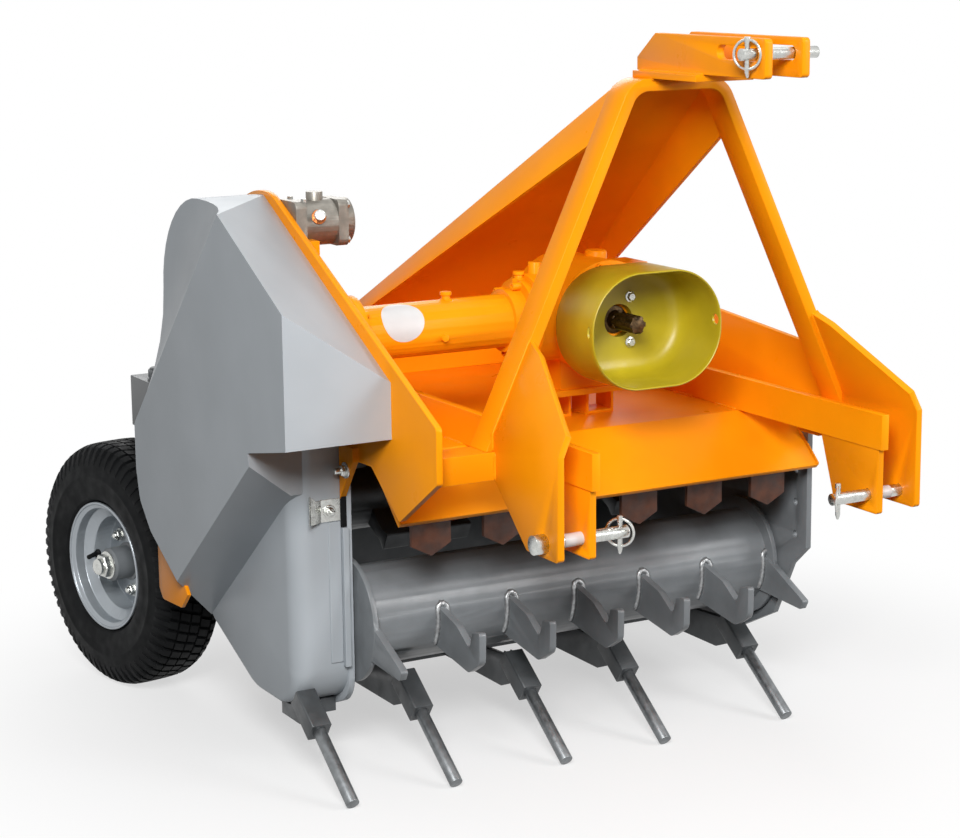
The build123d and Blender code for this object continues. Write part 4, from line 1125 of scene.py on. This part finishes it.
class SHREDDER_OT_blank_papers(bpy.types.Operator):
    """Plain white disc on the cross tube and plain paper sleeves on the lower pins"""
    bl_idname = "shredder.blank_papers"
    bl_label = "Blank papers"

    def execute(self, context):
        disc = bmesh.new()
        rings = [disc_ring(disc, DISC_R_MM * k / DISC_RINGS, DISC_LIFT_MM) for k in range(1, DISC_RINGS + 1)]
        rings.append(disc_ring(disc, DISC_R_MM, DISC_EDGE_MM))
        skin(disc, rings)
        disc.faces.new(rings[0][::-1])
        make_piece("tube_disc", disc, "frame", "rim_paint", "white_vinyl", crease=50)
        papers = bmesh.new()
        for x in SLEEVES_X:
            turned(papers, (x, *PIN_AXIS), RIGHT, *SLEEVE, joined=True)
        make_piece("pin_papers", papers, "frame", "rim_paint", "white_vinyl")
        return {"FINISHED"}


# Stage: floor, light and camera

CAMERA_AT = (-2.2728, -3.9651, 1.5253)
CAMERA_YAW = math.radians(28.91)        # turned right from +Y
CAMERA_PITCH = math.radians(-11.59)
CAMERA_ROLL = math.radians(-0.636)
LENS_MM = 88.2
SENSOR_MM = 36
VIEW_END = 200
FLOOR_HALF = 40.0
LAMPS = (
    # name, place, aim, width, height, watts
    ("key", (-2.15, -3.35, 2.8), (0.0, -0.2, 0.7), 1.6, 1.4, 198),
    ("top", (0.4, -0.2, 4.6), (0.0, 0.1, 0.5), 2.6, 2.6, 24),
    ("right", (2.6, -3.4, 2.3), (0.1, -0.2, 0.7), 1.8, 2.0, 95),
    ("rear", (1.4, 4.2, 3.0), (0.0, 0.2, 0.6), 2.4, 2.4, 55),
)
AMBIENT = 0.09
FADE_FROM = 0.5             # the floor begins to go over to white here
FADE_TO = 1.5               # and is plain white here
FADE_NEAR = 0.55            # share of plain white beside the object
FLOOR_BOUNCE = "404040"     # how the floor lights the underside
FLOOR_GAP = 0.2 * MM        # keeps the floor clear of the lowest faces


def seen_directly(tree):
    """One for rays from the camera, a reflection or a clear surface, else nothing."""
    path = add_node(tree, "ShaderNodeLightPath")
    direct = add_node(tree, "ShaderNodeMath", {"operation": "MAXIMUM"},
                      {0: (path, "Is Camera Ray"), 1: (path, "Is Transmission Ray")})
    seen = add_node(tree, "ShaderNodeMath", {"operation": "MAXIMUM"},
                    {0: (direct, "Value"), 1: (path, "Is Glossy Ray")})
    return seen, "Value"


def studio_world():
    """Even pale light, seen as plain white by the camera and in reflections."""
    world = bpy.data.worlds.new("studio")
    bpy.context.scene.world = world
    world.use_nodes = True
    tree = world.node_tree
    background = tree.nodes["Background"]
    background.inputs["Color"].default_value = (1, 1, 1, 1)
    limits = {"To Min": AMBIENT, "To Max": 1.0}
    level = add_node(tree, "ShaderNodeMapRange", limits, {"Value": seen_directly(tree)})
    tree.links.new(level.outputs["Result"], background.inputs["Strength"])


def floor_finish():
    """Matt white studio sweep that keeps the object's shadow and is plain white away from it."""
    material, tree, shader, coords = start_material(
        "studio_floor", paints().floor, metallic=0.0, roughness=0.9, specular=0.0)
    seen = seen_directly(tree)
    paint = add_node(tree, "ShaderNodeMix", {"data_type": "RGBA"}, {"Factor": seen})
    paint.inputs["A"].default_value = (*hex_to_linear(FLOOR_BOUNCE), 1)
    paint.inputs["B"].default_value = (*paints().floor, 1)
    tree.links.new(paint.outputs["Result"], shader.inputs["Base Color"])
    reach = add_node(tree, "ShaderNodeVectorMath", {"operation": "LENGTH"}, {0: coords})
    fade = add_node(tree, "ShaderNodeMapRange",
                    {"interpolation_type": "SMOOTHSTEP", "From Min": FADE_FROM, "From Max": FADE_TO,
                     "To Min": FADE_NEAR}, {"Value": (reach, "Value")})
    share = add_node(tree, "ShaderNodeMath", {"operation": "MULTIPLY"}, {0: (fade, "Result"), 1: seen})
    white = add_node(tree, "ShaderNodeEmission", {"Strength": 1.0})
    sweep = add_node(tree, "ShaderNodeMixShader", None,
                     {0: (share, "Value"), 1: (shader, "BSDF"), 2: (white, "Emission")})
    tree.links.new(sweep.outputs["Shader"], tree.nodes["Material Output"].inputs["Surface"])
    return material


def make_camera():
    """Camera of the main view."""
    camera = bpy.data.objects.new("camera", bpy.data.cameras.new("camera"))
    bpy.context.scene.collection.objects.link(camera)
    forward = Vector((math.sin(CAMERA_YAW) * math.cos(CAMERA_PITCH),
                      math.cos(CAMERA_YAW) * math.cos(CAMERA_PITCH), math.sin(CAMERA_PITCH)))
    turn = forward.to_track_quat("-Z", "Y").to_matrix() @ Matrix.Rotation(CAMERA_ROLL, 3, "Z")
    camera.matrix_world = Matrix.Translation(CAMERA_AT) @ turn.to_4x4()
    camera.data.lens = LENS_MM
    camera.data.sensor_width = SENSOR_MM
    camera.data.clip_end = VIEW_END
    bpy.context.scene.camera = camera


class SHREDDER_OT_stage(bpy.types.Operator):
    """Pale floor, soft studio lamps and the camera"""
    bl_idname = "shredder.stage"
    bl_label = "Stage"

    def execute(self, context):
        studio_world()
        net = bmesh.new()
        bmesh.ops.create_grid(net, x_segments=1, y_segments=1, size=FLOOR_HALF)
        mesh = bpy.data.meshes.new("floor")
        net.to_mesh(mesh)
        net.free()
        mesh.materials.append(floor_finish())
        floor = bpy.data.objects.new("floor", mesh)
        floor.location.z = CAD_BOX[0].z - FLOOR_GAP
        context.scene.collection.objects.link(floor)
        for name, place, aim, width, height, watts in LAMPS:
            lamp = bpy.data.lights.new(name, "AREA")
            lamp.shape = "RECTANGLE"
            lamp.size = width
            lamp.size_y = height
            lamp.energy = watts
            holder = bpy.data.objects.new(name, lamp)
            holder.location = place
            holder.rotation_euler = (Vector(aim) - Vector(place)).to_track_quat("-Z", "Y").to_euler()
            context.scene.collection.objects.link(holder)
        make_camera()
        context.scene.view_settings.view_transform = "Standard"
        return {"FINISHED"}


class SHREDDER_PT_panel(bpy.types.Panel):
    """Sidebar list of the steps"""
    bl_idname = "SHREDDER_PT_panel"
    bl_label = "Pruning Shredder"
    bl_space_type = "VIEW_3D"
    bl_region_type = "UI"
    bl_category = "Shredder"

    def draw(self, context):
        for operator in OPERATORS:
            self.layout.operator(operator.bl_idname)
        for group in (context.scene.shredder_colours, context.scene.shredder_sizes):
            for name in group.__annotations__:
                self.layout.prop(group, name)


OPERATORS = (
    SHREDDER_OT_finishes, SHREDDER_OT_tyres, SHREDDER_OT_wheel_fittings, SHREDDER_OT_welds,
    SHREDDER_OT_fasteners, SHREDDER_OT_guard, SHREDDER_OT_pump_fittings, SHREDDER_OT_cover,
    SHREDDER_OT_cover_trim, SHREDDER_OT_linchpins, SHREDDER_OT_blank_papers, SHREDDER_OT_stage,
)
CLASSES = (ShredderColours, ShredderSizes, *OPERATORS, SHREDDER_PT_panel)


def register():
    for cls in CLASSES:
        bpy.utils.register_class(cls)
    bpy.types.Scene.shredder_colours = bpy.props.PointerProperty(type=ShredderColours)
    bpy.types.Scene.shredder_sizes = bpy.props.PointerProperty(type=ShredderSizes)


def unregister():
    del bpy.types.Scene.shredder_sizes
    del bpy.types.Scene.shredder_colours
    for cls in reversed(CLASSES):
        bpy.utils.unregister_class(cls)


def main():
    register()
    for operator in OPERATORS:
        group, name = operator.bl_idname.split(".")
        getattr(getattr(bpy.ops, group), name)()


if __name__ == "__main__":
    main()
